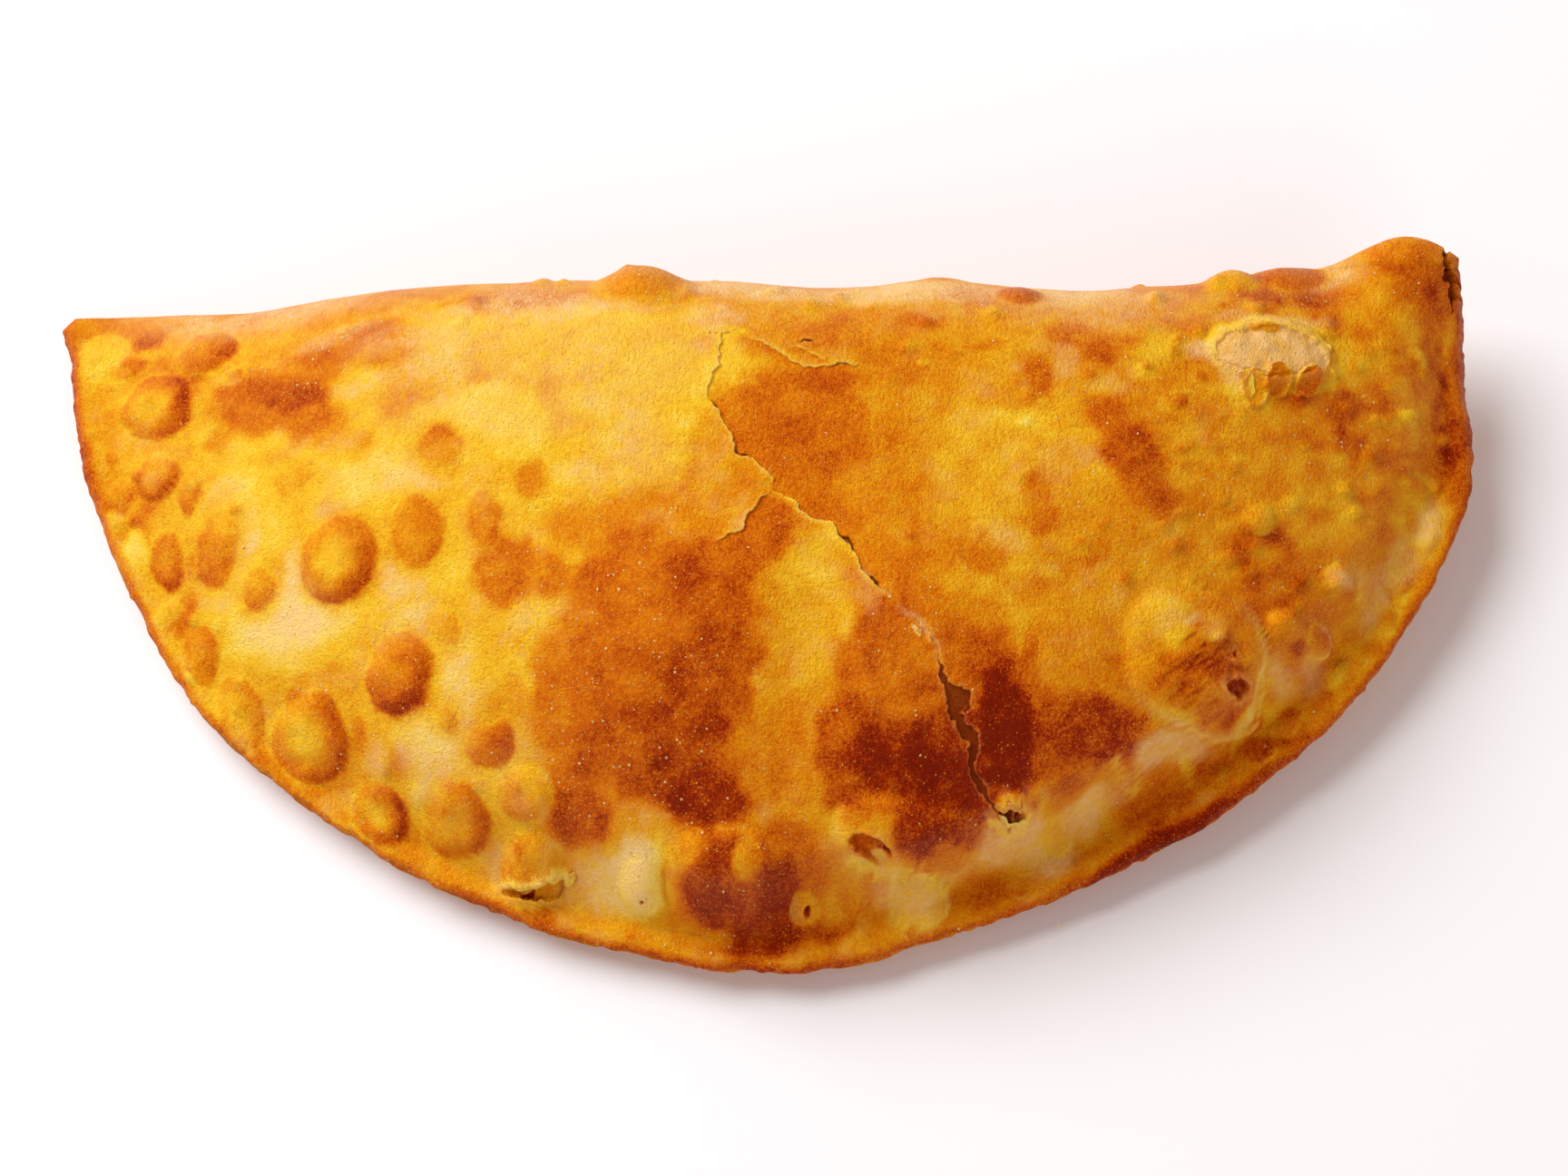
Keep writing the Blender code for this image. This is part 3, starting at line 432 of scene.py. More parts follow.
    (62.4, -9.6, 1.2, 3.4, 0.44, -10), (73.6, -11, 2.2, 2.4, 0.6),
    # the ridge and the raised corner
    (30, 37, 26, 2.6, 0.32), (64, 39.4, 3, 2.2, 0.62, 0, 0.4), (71.2, 39.2, 5.4, 2.2, 0.7, -6, 0.4),
    (84.6, 43, 4, 4.4, 0.6, 0, 0.35), (88.6, 42, 2.2, 4.8, 0.7, 0, 0.4), (84, 40.6, 2.6, 1.8, 0.5),
    (80, 42.5, 3, 3, 0.38), (89.4, 36.4, 2.4, 4, 0.58, 0, 0.4), (77.6, 35, 1.8, 1.2, 0.5),
    (91.6, 24, 2.6, 9, 0.64, 4, 0.4), (93.6, 41.6, 1, 4, 0.64, 8, 0.1),
    (89.6, 40.6, 1.6, 5.4, 0.74, 0, 0.4),
    # small corrections, from the left end to the right, some of them painted light and painted shade
    (-88, 14, 2.4, 6, 0.46, 20), (-93, 22.6, 1.4, 2.4, 0.2), (-75, 21.6, 2, 1.8, 0.42),
    (-64, 26.4, 4.4, 2.6, 0.52, 20), (-59, -24.4, 4.2, 1.5, 0.54, 0, 0.4), (-55.2, -19.4, 1.1, 3, 0.5),
    (-60, -9.4, 4.4, 1.4, 0.14), (-63.2, 3, 1.4, 4, 0.14, 10), (-48, -7, 3.4, 2.4, 0.15),
    (-47.6, 12.6, 3, 1.4, 0.16, -40), (-53.4, 23, 2.8, 3.2, 0.2, 30), (-39.4, -1, 1.4, 2.4, 0.18),
    (-33.2, 4.2, 1.6, 1.4, 0.34), (-28.2, -2, 2.8, 3.2, 0.5, 0, 0.4), (-31.6, -15, 1.2, 3.6, 0.22, 10),
    (-24, 20.8, 2.4, 2.6, 0.15), (-12, 2.4, 3.6, 1.4, 0.36), (-9.4, 30, 2.2, 1.2, 0.18),
    (-4, 30.4, 1.6, 0.9, 0.22, -20), (-13, 35.6, 4.4, 1.2, 0.24, 5), (-18, -19, 6, 8, 0.62, 0, 0.4),
    (-15, -25, 7, 3.4, 0.76, -10, 0.4), (-9.6, -16.4, 3.4, 5, 0.72), (-8, -29.6, 5, 2.8, 0.9, -10, 0.4),
    (-1.6, -18.6, 1.4, 3, 0.34, 0, 0.4), (9.6, -29.6, 2.4, 3.4, 0.66, 0, 0.4),
    (16.6, -33, 4.2, 1.4, 0.86, -10, 0.4), (20, -34.8, 4.6, 1.4, 0.66, -6, 0.4), (24, -20.6, 2, 4.4, 0.84),
    (33.4, -14.2, 1.5, 4.2, 0.62, 0, 0.4), (42.6, -30.8, 3.6, 2.4, 0.28, 30, 0.4),
    (36.2, -37.6, 3.4, 1.2, 0.36, 25), (52.6, -29, 5.6, 2, 0.62, 42, 0.4),
    (-2.6, -38, 6.4, 3.4, 0.74, -10, 0.4), (-0.6, -41, 3.2, 3.4, 0.86, -10), (-9.4, -43.6, 2.8, 1.6, 0.38),
    (8.4, -42.2, 2.4, 2.2, 0.42), (15, 5, 3.4, 4.4, 0.4), (10, -8.8, 1.3, 2.4, 0.22),
    (20.2, -3, 1.6, 1.6, 0.38), (28.6, 9, 3.2, 6.6, 0.22), (37.4, 16.4, 5, 1.3, 0.26, -4),
    (42.6, 22.6, 3, 1.5, 0.26), (51.6, 29, 2.8, 3.2, 0.22), (47.4, 31.4, 2.8, 1.2, 0.3),
    (61, 23.4, 1.2, 3.4, 0.26), (34.6, 32.4, 3.4, 1.1, 0.3), (62.4, 13.2, 3.4, 2.2, 0.34),
    (30, 37, 7, 2, 0.54, 0, 0.4), (72.4, 2, 1.4, 2, 0.56), (19, -24.6, 6.4, 7, 0.9, -10, 0.4),
    (29.4, -23.6, 3.6, 7.4, 0.94, 0, 0.3), (22, -31, 6.8, 2, 0.88, -6), (38, -22, 4.4, 3, 0.78),
    (14.4, -24, 2.4, 5, 0.8), (-20, -22, 4, 5, 0.68), (-12, -22.6, 4.6, 3.6, 0.82, 0, 0.4),
    (-0.2, -38.4, 3.4, 4.6, 0.82, -10), (-8.4, -37.2, 3.4, 2.8, 0.84), (-11.6, -35.4, 2.6, 1.6, 0.36, 20),
    (-4, -43, 4.4, 1.6, 0.86, 0, 0.4), (9.6, -33, 2.4, 1.8, 0.28, 0, 0.4),
    (12.6, -32.4, 3.4, 1.4, 0.4, -10, 0.4), (18.4, -33.6, 3.2, 1.6, 0.84, 0, 0.4),
    (21.6, -32.4, 5.4, 2, 0.84, -6), (22.6, -35.4, 3.4, 0.9, 0.44, 0, 0.4), (1.6, -35.4, 2.6, 1.8, 0.56),
    (50.4, -7, 4.6, 3, 0.2, 20), (48.2, -11.8, 2.4, 4.4, 0.32), (57.6, -5.8, 3.6, 2, 0.46),
    (61, -9.8, 2, 3.4, 0.52), (54.4, -13.8, 6, 3.2, 0.58, 8), (55.6, -12.6, 3.4, 1.5, 0.66, 5, 0.6),
    (51, -14.6, 1.6, 1.4, 0.68), (58.8, -16.8, 4.6, 1.3, 0.66, 4, 0.4), (62.2, -15.8, 1.8, 2, 0.72, 0, 0.4),
    (56, -8.9, 1.8, 0.8, 0.3, 20), (50.8, -18.4, 3.4, 0.8, 0.32, -4, 0.4), (29, -34.8, 5, 1.4, 0.3, 10),
    (40, -31.4, 7, 2, 0.28, 32), (-25.4, -31, 3.2, 2.8, 0.7, 0, 0.4), (20, -24.6, 7, 5.4, 0.82, -12, 0.9),
    (20, -27.8, 7.2, 3.8, 1, -12, 0.9), (28.8, -26, 3, 5.6, 1, 0, 0.8), (17, -18.6, 4, 3, 0.6, 0, 0.8),
    (30, -30.2, 2.8, 1.9, 0.82), (14, -31.4, 3, 1.4, 0.66), (20.6, -33, 4.2, 1.2, 0.86, -6),
    (24.6, -34.2, 2.4, 1, 0.72), (19.2, -37.2, 3.4, 0.7, 0.44, 0, 0.4), (23.6, -39.4, 0.8, 2.4, 0.46),
    (15, -37, 2.4, 0.8, 0.14, -10, 0.4), (-17.4, -38.2, 4.4, 4, 0.06, 0, 0.4),
    (-5.2, -39.2, 4.6, 2.8, 0.8, 0, 0.6), (-8.4, -44, 3.2, 1.5, 0.46), (-34, -35, 2.6, 1.6, 0.28),
    (-30.6, -41.4, 2.8, 1.2, 0.6, -10), (88, 44, 4.4, 3, 0.62), (83.4, 45, 3, 2.4, 0.58, 0, 0.4),
    (92, 41.6, 1.6, 3.6, 0.68), (87, 37, 4, 2.4, 0.5), (-60, 42.6, 10, 2.4, 0.38),
    (-68, 40.4, 15, 1.6, 0.46), (-64, 25.6, 4.8, 2.4, 0.76, -12), (-62, 22.2, 3.6, 1.8, 0.58),
    (-48.4, -8.2, 3.8, 2.6, 0.14), (-33.2, 4.2, 2.2, 1.8, 0.16), (-67, 8, 2.6, 3.4, 0.1),
    (-7.4, 22, 1.2, 4, 0.14, 8), (61, 12.2, 3.8, 2.8, 0.26), (60, 16.4, 3, 2, 0.3),
    (48.6, 18.6, 2.2, 1.2, 0.34), (36, -1.4, 1.8, 1.6, 0.24), (60.4, -16.2, 3, 1.4, 0.76),
    (68.4, -17.4, 2.2, 2, 0.78, 20), (64.6, -19.6, 2.4, 1.4, 0.74, 30), (54, -25, 7, 1.2, 0.58, 36),
    (88, 3, 1.4, 2.4, 0.34, -30), (90.6, 24.8, 1.4, 1.8, 0.44), (10, -15, 1.6, 2.4, 0.62),
    (4.4, 4.6, 2.2, 1.6, 0.5, 30), (-78, 4.6, 3, 1.8, 0.46), (-57.6, -23, 3.6, 2, 0.4, 20),
    (-37.4, 36, 3.4, 1.4, 0.44), (-11, 40.8, 2.4, 3, 0.46), (27.5, -7.6, 4, 2, 0.36),
    (-7.5, -7.6, 2.6, 2.2, 0.56), (-47.6, -27.6, 4.6, 2.6, 0.16, -20), (38, -27.4, 3.4, 1.6, 0.58, 20),
    # (72.4, 27.6), (72.6, 27.4) and (74.4, 29) by the flakes and (82, 37) on the corner are painted light,
    # paler where the skin turns from the light; (-28, 37.6) and (-33, 37.6) on the ridge are painted shade,
    # browner where it faces the light
    (62.6, 22.6, 2.6, 2, 0.24), (72.4, 27.6, 2.6, 2, 0.34), (57.6, 37.6, 3, 1.6, 0.3),
    (32.6, 17.6, 3.6, 1.8, 0.14), (-28, 37.6, 7, 1.6, 0.42), (82, 37, 5, 3, 0.36),
    (74.4, 29, 3.4, 3.4, 0.27), (23, -17.6, 2.8, 2.4, 0.58), (-33, 37.6, 9, 1.6, 0.5),
    (-57, 37.6, 7, 1.6, 0.46), (-12.6, 37.6, 4.4, 2.2, 0.46), (-55, 32.6, 6.4, 2.2, 0.5, 8),
    (-47.4, -7.4, 2.6, 1.8, 0.1), (72.6, 27.4, 2.4, 1.8, 0.3), (-55, 38.4, 5, 1.4, 0.42),
)

# How brown the rim is and how far in it reaches, by the angle round from the left end
rim = {
    "angles": (0, 12, 18, 32, 46, 56, 75, 90, 100, 114, 119, 124, 130, 136, 150, 165, 180),
    "tones": (
        0.62, 0.7, 0.56, 0.54, 0.54, 0.62, 0.64, 0.8, 0.64, 0.66, 0.86, 0.94, 0.86, 0.68, 0.62, 0.68, 0.66),
    "widths": (1.6, 2.0, 1.6, 1.3, 1.1, 1.1, 0.9, 1.1, 0.9, 1.2, 2.2, 3.0, 2.2, 1.6, 1.5, 2.0, 1.8),
    "waves": (  # angle, half angle and mm that the outline is pushed out
        (1, 2.5, 1.3), (8, 4, 0.6), (14, 6, 0.3), (29, 7, -0.6), (41, 9, 0.5), (85, 5, 0.5), (92, 3, 1.0),
        (97, 3, 0.5), (113, 6, -0.6), (139.5, 4.5, 0.7), (160, 7, 0.5), (172, 4.5, -1.8)),
    "lineAngles": (0, 15, 22, 48, 70, 80, 180),
    "lineTones": (0.74, 0.7, 0.44, 0.44, 0.56, 0.62, 0.66),
}

# Washes for the broken plate alone, up to its broken edge
plateWashes = (
    (2.6, 15.4, 11.4, 9.6, 0.54, -8, 0.12), (7.4, 6.6, 5.6, 4.6, 0.53, 0, 0.25),
    (-1.4, 17.8, 4.6, 5.4, 0.58, 0, 0.3), (7.8, 22.6, 3.4, 1.9, 0.66), (3, 16.6, 2.8, 2.6, 0.62),
    (7.6, 12.2, 1.9, 1.6, 0.64), (0.8, 11.2, 2.2, 1.9, 0.64), (3.4, 20.6, 2.2, 1.4, 0.5),
    (5.2, 5.6, 1.9, 1.2, 0.6, -20), (-6.2, 20, 1.4, 3, 0.36, 10, 0.4),
    (-5.4, 26.4, 2.1, 4.6, 0.16, 12, 0.4), (-3.4, 23.4, 1.2, 1.8, 0.34, 30), (11.6, 8.6, 2.6, 3, 0.42),
    (13.6, 19.4, 0.6, 3.6, 0.34),
)

# Dough that stayed pale and floury, with the pallor in place of the browning; round (-63, -4) it is pale
# dough with a painted highlight
pallors = (
    (-30, 25, 22, 8, 0.15, 5, 0.6), (-53.6, 26, 4, 1, 0.34, 10), (-43.6, 31, 3, 3, 0.36),
    (-42, 24.4, 1.8, 2.8, 0.28), (-33, 36, 5, 4, 0.34), (-27, 35.4, 3, 2, 0.46), (-27.6, 26, 3, 1.4, 0.2),
    (-25, 12, 3, 1.4, 0.26, -20), (30, 2.4, 2.4, 2, 0.17), (38, 26.6, 1.2, 1.8, 0.32),
    # (-63.5, -4.4) and (-63, -4.4): pale dough with a painted highlight
    (44, 22.6, 3, 1, 0.12), (-17, 15, 4, 5, 0.16, 0, 0.6), (-63.5, -4.4, 6.4, 3.4, 0.5, 8),
    (-63, -4.4, 3, 1.6, 0.75, 8), (-62.8, 0.5, 1.6, 4, 0.35, 0, 0.6), (-70.4, 6, 1.4, 6, 0.4),
    (-74.6, 13.6, 3, 1.8, 0.14, 0, 0.6), (-74, -1, 3, 1.2, 0.35, -10), (-51, 13.5, 8, 2.2, 0.18, 15, 0.6),
    (-48, -1.8, 3, 1.6, 0.45, 0, 0.4), (-47.6, -6.6, 2.8, 0.9, 0.4), (-50.6, -9.2, 0.9, 0.8, 0.5),
    (-43.5, -22, 5, 3, 0.4), (-41.5, -12.5, 1.6, 3, 0.3, 0, 0.6), (-52.5, -22.5, 1.4, 2.6, 0.26, 0, 0.6),
    (-65.6, -19.5, 1.2, 5, 0.26, 30, 0.6), (-36.8, -35.6, 1.6, 2.6, 0.34, 20),
    (-34, -25.5, 2.4, 3.6, 0.28, 0, 0.6), (-20.6, -38.4, 4.6, 3, 0.55), (-18.6, -38.4, 2, 2.2, 0.85),
    (-63, -1.4, 3.2, 3.4, 0.74), (-63.6, 3.4, 1.2, 2.6, 0.6), (-69.8, 6.6, 1.3, 2.4, 0.6),
    (-57.4, 9.4, 3, 1.2, 0.3, 10), (-47, 11.8, 4.4, 1.6, 0.42, -10), (-74, 14.2, 3.2, 1.5, 0.3),
    (-50, -1.4, 2, 2.8, 0.6), (-46.4, -6.6, 3.4, 2.2, 0.46), (-44.6, 27.4, 4.2, 1.8, 0.4, 20),
    (-41, -13, 1.5, 4.2, 0.42, -10), (-39.4, -20, 1.2, 4, 0.4), (-44.6, -26, 3.4, 1.5, 0.42, 20),
    (-18, -38, 3, 3.8, 0.98, 0, 0.4), (15, -37, 2.2, 0.8, 0.34, -10, 0.4), (62.6, 28.4, 3, 1.8, 0.52, 30),
    (-86.6, 9.2, 1, 2.6, 0.24), (-96, 36, 1.2, 3.6, 0.3, 0, 0.6), (-46, 31.5, 9, 2.2, 0.28, 4, 0.6),
    (-58, 33.6, 5, 1.2, 0.3, 8, 0.6), (-30, 35, 14, 1.4, 0.4, -2), (-7.5, 32.6, 4, 1.8, 0.4),
    (18, 37.6, 32, 1.9, 0.34), (44, 35, 10, 3.4, 0.28, 0, 0.6), (73, 43.6, 5, 2.4, 0.5, 0, 0.6),
    (30.6, -34, 4.2, 1.5, 0.46, 12, 0.4), (36.2, -32.6, 4.4, 2, 0.5, 26, 0.4),
    (41.8, -29.6, 4, 1.7, 0.44, 36, 0.4), (46, -26.8, 2.4, 1.2, 0.2, 36, 0.4),
    (37, -35, 2.6, 1.8, 0.5, 20, 0.4), (50, -22.6, 2.6, 1.9, 0.44, 20, 0.3),
    (55, -21.2, 3.6, 1.5, 0.4, 8, 0.3), (81, 1, 1.6, 5, 0.28, -20), (77, 1.6, 3, 1.2, 0.2, 10),
    (84, 5.4, 2, 3.4, 0.24, -30), (88.6, 10.5, 1.6, 3, 0.45, -15), (67.4, -11.4, 2.6, 1.8, 0.35),
    (72, -10, 1.6, 2.4, 0.25), (57, 28.4, 2.6, 1.6, 0.5, 0, 0.4), (60.6, 25.6, 2.4, 1.4, 0.4, -40, 0.4),
    (66.5, 34.6, 7, 0.9, 0.35), (38, 27.5, 1.4, 1.6, 0.25), (15.6, -39.8, 2.4, 1.4, 0.35),
    (12.6, -4.8, 0.8, 2.8, 0.16, 30, 0.3), (19, -9.8, 0.4, 2.4, 0.24, 38, 0.2),
    (-32.6, -29, 1.4, 1.3, 0.75, 0, 0.2), (16.6, -39.6, 2.4, 1.2, 0.34, 20, 0.4),
)

# Pallor of the rolled fold along its length
foldPallor = {
    "wall": 14.0,  # mm up the back
    "lowest": 4.5,  # mm up the back where it wears off
    "x": (-96, -84, -80, -58, -52, -40, -22, -18, -12, -9, -1, 2, 12, 14, 22, 24, 31, 34, 42, 48, 52, 60, 64,
          76, 80, 90, 96),
    "pallor": (0, 0.1, 0.45, 0.35, 0.1, 0, 0.1, 0, 0, 0.4, 0.4, 0.1, 0.1, 0.45, 0.45, 0.1, 0.1, 0.4, 0.4, 0.2,
               0, 0, 0.1, 0.1, 0, 0, 0),
}

# Pallor on the large blisters
domePallors = (
    (75, 0.5, 1.5, 1.2, 0.4), (53.6, -7, 0.9, 0.6, 0.4, 30), (56.2, -8.4, 0.8, 0.5, 0.34, 20),
    (18.8, -40.2, 3, 2.4, 0.3), (-17, -38.6, 2.2, 2.6, 0.62, 0, 0.4),
)

# Flour left on the skin, and painted sheen, with its amount in place of the browning
flourAndSheen = (
    (-20, -14, 14, 18, 0.9, 10), (-24, 2, 12, 8, 0.6, 0, 0.6), (-66, 28, 12, 5, 0.8, 10),
    (-56, 33, 9, 4, 0.9, 8), (-50, -14, 14, 12, 0.6, 0, 0.6), (-40, -30, 22, 9, 0.7, -20, 0.6),
    # the strokes along the ridge are flour with painted sheen, and the one at (17, -14) on the broken plate
    # is painted sheen
    (-8, -38, 12, 9, 0.6, 0, 0.6), (0, 42, 96, 7, 1), (70, 40, 12, 5, 1, 0, 0.4),
    (17, -14, 7, 9, 1, 0, 0.4), (60, 12, 30, 20, 0.5, 0, 0.6),
)


def filled(entries, size, usual):
    # entries with the usual last values that the lists leave out
    return [entry + usual[len(usual) - size + len(entry):] for entry in entries]


def turned(x, y, shape):
    # coordinates along and across an ellipse, 1 on its edge
    angle = math.radians(shape[4])
    along = ((x - shape[0]) * math.cos(angle) + (y - shape[1]) * math.sin(angle)) / shape[2]
    aside = ((y - shape[1]) * math.cos(angle) - (x - shape[0]) * math.sin(angle)) / shape[3]
    return along, aside


def ellipsePlace(x, y, shape):
    # distance from an ellipse's middle, 1 on its edge
    return np.hypot(*turned(x, y, shape))


def leanTo(x, y, shape, side):
    # how far towards a side of the ellipse, from -1 to 1
    angle = math.radians(side)
    return ((x - shape[0]) * math.cos(angle) + (y - shape[1]) * math.sin(angle)) / max(shape[2:4])


def nearby(x, y, shape, reach):
    # the points that can lie within that many times the shape's size, and their distances in it
    size = max(shape[2:4]) * reach
    near = np.nonzero((np.abs(x - shape[0]) < size) & (np.abs(y - shape[1]) < size))[0]
    return near, ellipsePlace(x[near], y[near], shape)


def shaken(x, y, *noises):
    # coordinates moved about by noises: size, amount, seed for x, seed for y
    side = sum(softNoise(x, y, size, seed) * amount for size, amount, seed, _ in noises)
    other = sum(softNoise(x, y, size, seed) * amount for size, amount, _, seed in noises)
    return x + side, y + other


def bent(x, y):
    # coordinates pushed about a little, so that no edge is a true ellipse
    side = layeredNoise(x, y, 6.0, 11) * 1.5 + softNoise(x, y, 1.6, 21) * 0.45
    other = layeredNoise(x, y, 6.0, 31) * 1.5 + softNoise(x, y, 1.6, 41) * 0.45
    return x + side, y + other


def raggedPlace(x, y):
    # coordinates shaken at three small sizes, for broken edges
    return shaken(x, y, (1.9, 0.3, 93, 95), (0.8, 0.24, 94, 96), (0.37, 0.09, 97, 98))


def coat(tone, share, level, cover, near=...):
    # lay a level over the tones so far and keep the widest cover
    tone[near] = tone[near] * (1.0 - cover) + level * cover
    share[near] = np.maximum(share[near], cover)


def blank(x, count):
    return [np.zeros_like(x) for _ in range(count)]


farAway = 1e6  # mm


def crackPlace(x, y, route):
    # distance from a crack's line, which side, how far along, and its half width and depth there
    best = np.full(x.shape, farAway)
    side, along, width, depth = blank(x, 4)
    for index, (start, end) in enumerate(zip(route, route[1:])):
        run = np.array(end[:2]) - np.array(start[:2])
        t = np.clip(((x - start[0]) * run[0] + (y - start[1]) * run[1]) / run.dot(run), 0.0, 1.0)
        away = np.hypot(x - start[0] - t * run[0], y - start[1] - t * run[1])
        nearer = away < best
        best = np.where(nearer, away, best)
        side = np.where(nearer, np.sign((x - start[0]) * run[1] - (y - start[1]) * run[0]), side)
        along = np.where(nearer, (index + t) / (len(route) - 1), along)
        width = np.where(nearer, start[2] + (end[2] - start[2]) * t, width)
        depth = np.where(nearer, start[3] + (end[3] - start[3]) * t, depth)
    return best, side, along, width, depth


def endsOf(along):
    # fades a crack out towards both ends
    return ease(along * 6.0) * ease((1.0 - along) * 6.0)


def crackShapes(x, y):
    # height of the broken edges, depth and share of the openings, and nearness to a thin pale edge
    u, v = raggedPlace(x, y)
    height, sunk, gap, lip = blank(x, 4)
    for crack in cracks.values():
        away, side, along, width, depth = crackPlace(u, v, crack["route"])
        width = width * (1.0 + 0.55 * softNoise(x, y, 0.6, 99))
        ends = endsOf(along)
        opening = ease((width + 0.12 - away) / 0.22) * np.clip(width / 0.12, 0.0, 1.0)
        rise = crack["step"] * ends * np.exp(-away / 2.4)
        height += np.where(side > 0.0, rise, -0.35 * rise)
        sunk = np.maximum(sunk, opening * depth)
        gap = np.maximum(gap, opening)
        strong = ends * crack["step"] / 0.3
        lip = np.maximum(lip, np.where(side > 0.0, strong * np.exp(-(away / 0.3) ** 2), 0.0))
        lip = np.maximum(lip, crack["rim"] * ends * np.exp(-((away - width - 0.16) / 0.2) ** 2))
    return height, sunk, gap, lip


def toneSheets(x, y, toast):
    # the sheets on the two sides of a crack browned differently, and the broken plate most of all
    u, v = raggedPlace(x, y)
    best = np.full(x.shape, farAway)
    plate = np.zeros_like(x)
    for name in plateEdge:
        away, side, _, _, _ = crackPlace(u, v, cracks[name]["route"])
        plate = np.where(away < best, side, plate)
        best = np.minimum(best, away)
    painted = paintShape(x, y, toast, plateWashes)
    toast = np.where(plate < 0.0, painted, toast)
    for crack in cracks.values():
        proudTone, proudReach, lowTone, lowReach = crack["tones"]
        if proudReach + lowReach == 0.0:
            continue
        away, side, along, _, _ = crackPlace(u, v, crack["route"])
        ends = endsOf(along)
        tone = np.where(side > 0.0, proudTone, lowTone)
        reach = np.where(side > 0.0, proudReach, lowReach) + 1e-3
        toast = toast + (tone - toast) * 0.75 * ends * np.exp(-(away / reach) ** 2)
    return toast


def paintShape(x, y, base, strokes):
    # lay soft-edged strokes over a value, one after another
    u, v = bent(x, y)
    value = base.copy()
    for *oval, level, turn, softness in filled(strokes, 7, usualStroke):
        shape = (*oval, turn)
        small = min(shape[2:4])
        reach = np.clip(softness * small, 0.2 if softness <= 0.1 else 0.5, 2.0) / small
        near, q = nearby(u, v, shape, 1.0 + reach)
        share = ease((1.0 + reach - q) / (2.0 * reach))
        value[near] += (level - value[near]) * share
    return value


def blisterShapes(x, y):
    # height of the blisters, their browning with painted shade on the side away from the light, how far each
    # point belongs to one and the pale skin round them
    u, v = shaken(x, y, (3.2, 0.5, 51, 61), (1.3, 0.2, 52, 62))
    height, tone, share, halo = blank(x, 4)
    lumps = 1.0 + 0.28 * softNoise(x, y, 2.3, 53) + 0.16 * softNoise(x, y, 1.1, 54)
    for *shape, steepness, browning, side, middle in filled(blisters, 9, usualBlister):
        near, q = nearby(u, v, shape, 1.5)
        small = min(shape[2:4])
        leftEnd = ease((10.0 - shape[0]) / 30.0)  # they stand up less there
        steep = steepness * (0.95 - 0.25 * leftEnd)
        dome = 0.6 * ease((1.12 - q) / 0.62) + 0.4 * np.clip(1.0 - q ** 2, 0.0, 1.0)
        rise = steep * small * dome * lumps[near]
        foot = -0.12 * steep * small * np.exp(-((q - 1.2) / 0.13) ** 2)
        height[near] = np.maximum(height[near], rise) + foot
        # the browning leans darker towards the given side and paler away from it: painted shade on the side
        # away from the light and painted light on the lit side, over the blister's own browning
        lean = leanTo(u[near], v[near], shape, side)
        ring = middle + (1.0 - middle) * ease(q * 1.25 - 0.15)
        level = browning * np.clip(ring * (0.88 + 0.36 * lean), 0.0, 1.25)
        coat(tone, share, level, ease(0.5 + (1.0 - q) * small / 1.1), near)
        halo[near] = np.maximum(halo[near], leftEnd * np.exp(-(np.maximum(q - 1.0, 0.0) * small / 1.1) ** 2))
    return height, tone, share, halo


def domeShapes(x, y):
    # height of the large blisters, their browning and share, and the edge's share, browning and pallor
    u, v = shaken(x, y, (3.0, 0.35, 57, 67), (1.2, 0.12, 58, 68))
    height, tone, share, edge, edgeTone, edgeRaw = blank(x, 6)
    lumps = 1.0 + 0.16 * softNoise(x, y, 2.6, 53)
    for *shape, rise, squareness, browning, rimTone, rimRaw, side in domes:
        near, _ = nearby(u, v, shape, 1.6)
        along, aside = turned(u[near], v[near], shape)
        q = (np.abs(along) ** squareness + np.abs(aside) ** squareness) ** (1.0 / squareness)
        small = min(shape[2:4])
        dome = np.clip(1.0 - q ** 2, 0.0, 1.0) ** 0.75
        groove = np.exp(-(((q - 1.04) * small) / 0.5) ** 2)
        height[near] = np.maximum(height[near], rise * dome * lumps[near]) - 0.14 * min(rise, 1.2) * groove
        cover = ease((1.0 - q) * small / 0.5 + 0.5)
        facing = np.cos(np.arctan2(v[near] - shape[1], u[near] - shape[0]) - math.radians(side))
        shown = 1.0 if side == 360 else ease(facing * 0.8 + 0.45)
        line = cover * shown * np.exp(-(np.maximum(1.0 - q, 0.0) * small / (0.22 + 0.05 * small)) ** 2)
        if browning > 0.0:
            coat(tone, share, browning, cover, near)
        stronger = line > edge[near]
        edge[near] = np.where(stronger, line, edge[near])
        edgeTone[near] = np.where(stronger, rimTone, edgeTone[near])
        edgeRaw[near] = np.where(stronger, rimRaw, edgeRaw[near])
    return height, tone, share, edge, edgeTone, edgeRaw


def crumpleShapes(x, y):
    # folds of crumpled skin: sharp crests and round valleys
    folds = np.zeros_like(x)
    for *shape, size, rise in crumples:
        share = ease((1.1 - ellipsePlace(x, y, shape)) / 0.4)
        crest = 1.0 - 2.4 * np.abs(softNoise(x + y * 0.3, y, size, 181))
        crest = crest + 0.5 * softNoise(x, y, size * 0.5, 182)
        folds += share * rise * crest
    return folds


def lineShapes(x, y):
    # thin lines laid on the skin: height, browning, pallor and share
    u, v = raggedPlace(x, y)
    height, tone, pale, share = blank(x, 4)
    for browning, pallor, route in lines:
        away, _, _, width, rise = crackPlace(u, v, route)
        cover = ease((width - away) / 0.3 + 0.6)
        height += rise * np.exp(-(away / (width + 0.15)) ** 2)
        coat(tone, share, browning, cover)
        coat(pale, share, pallor, cover)
    return height, tone, pale, share


def foldBlisterShapes(x, y):
    # height of the blisters on the fold, their browning and share
    height, tone, share = blank(x, 3)
    for *oval, rise, browning in foldBlisters:
        q = ellipsePlace(x, y, (*oval, 0))
        height = np.maximum(height, rise * ease(1.15 - q))
        coat(tone, share, browning, ease((1.15 - q) / 0.45))
    return height, tone, share


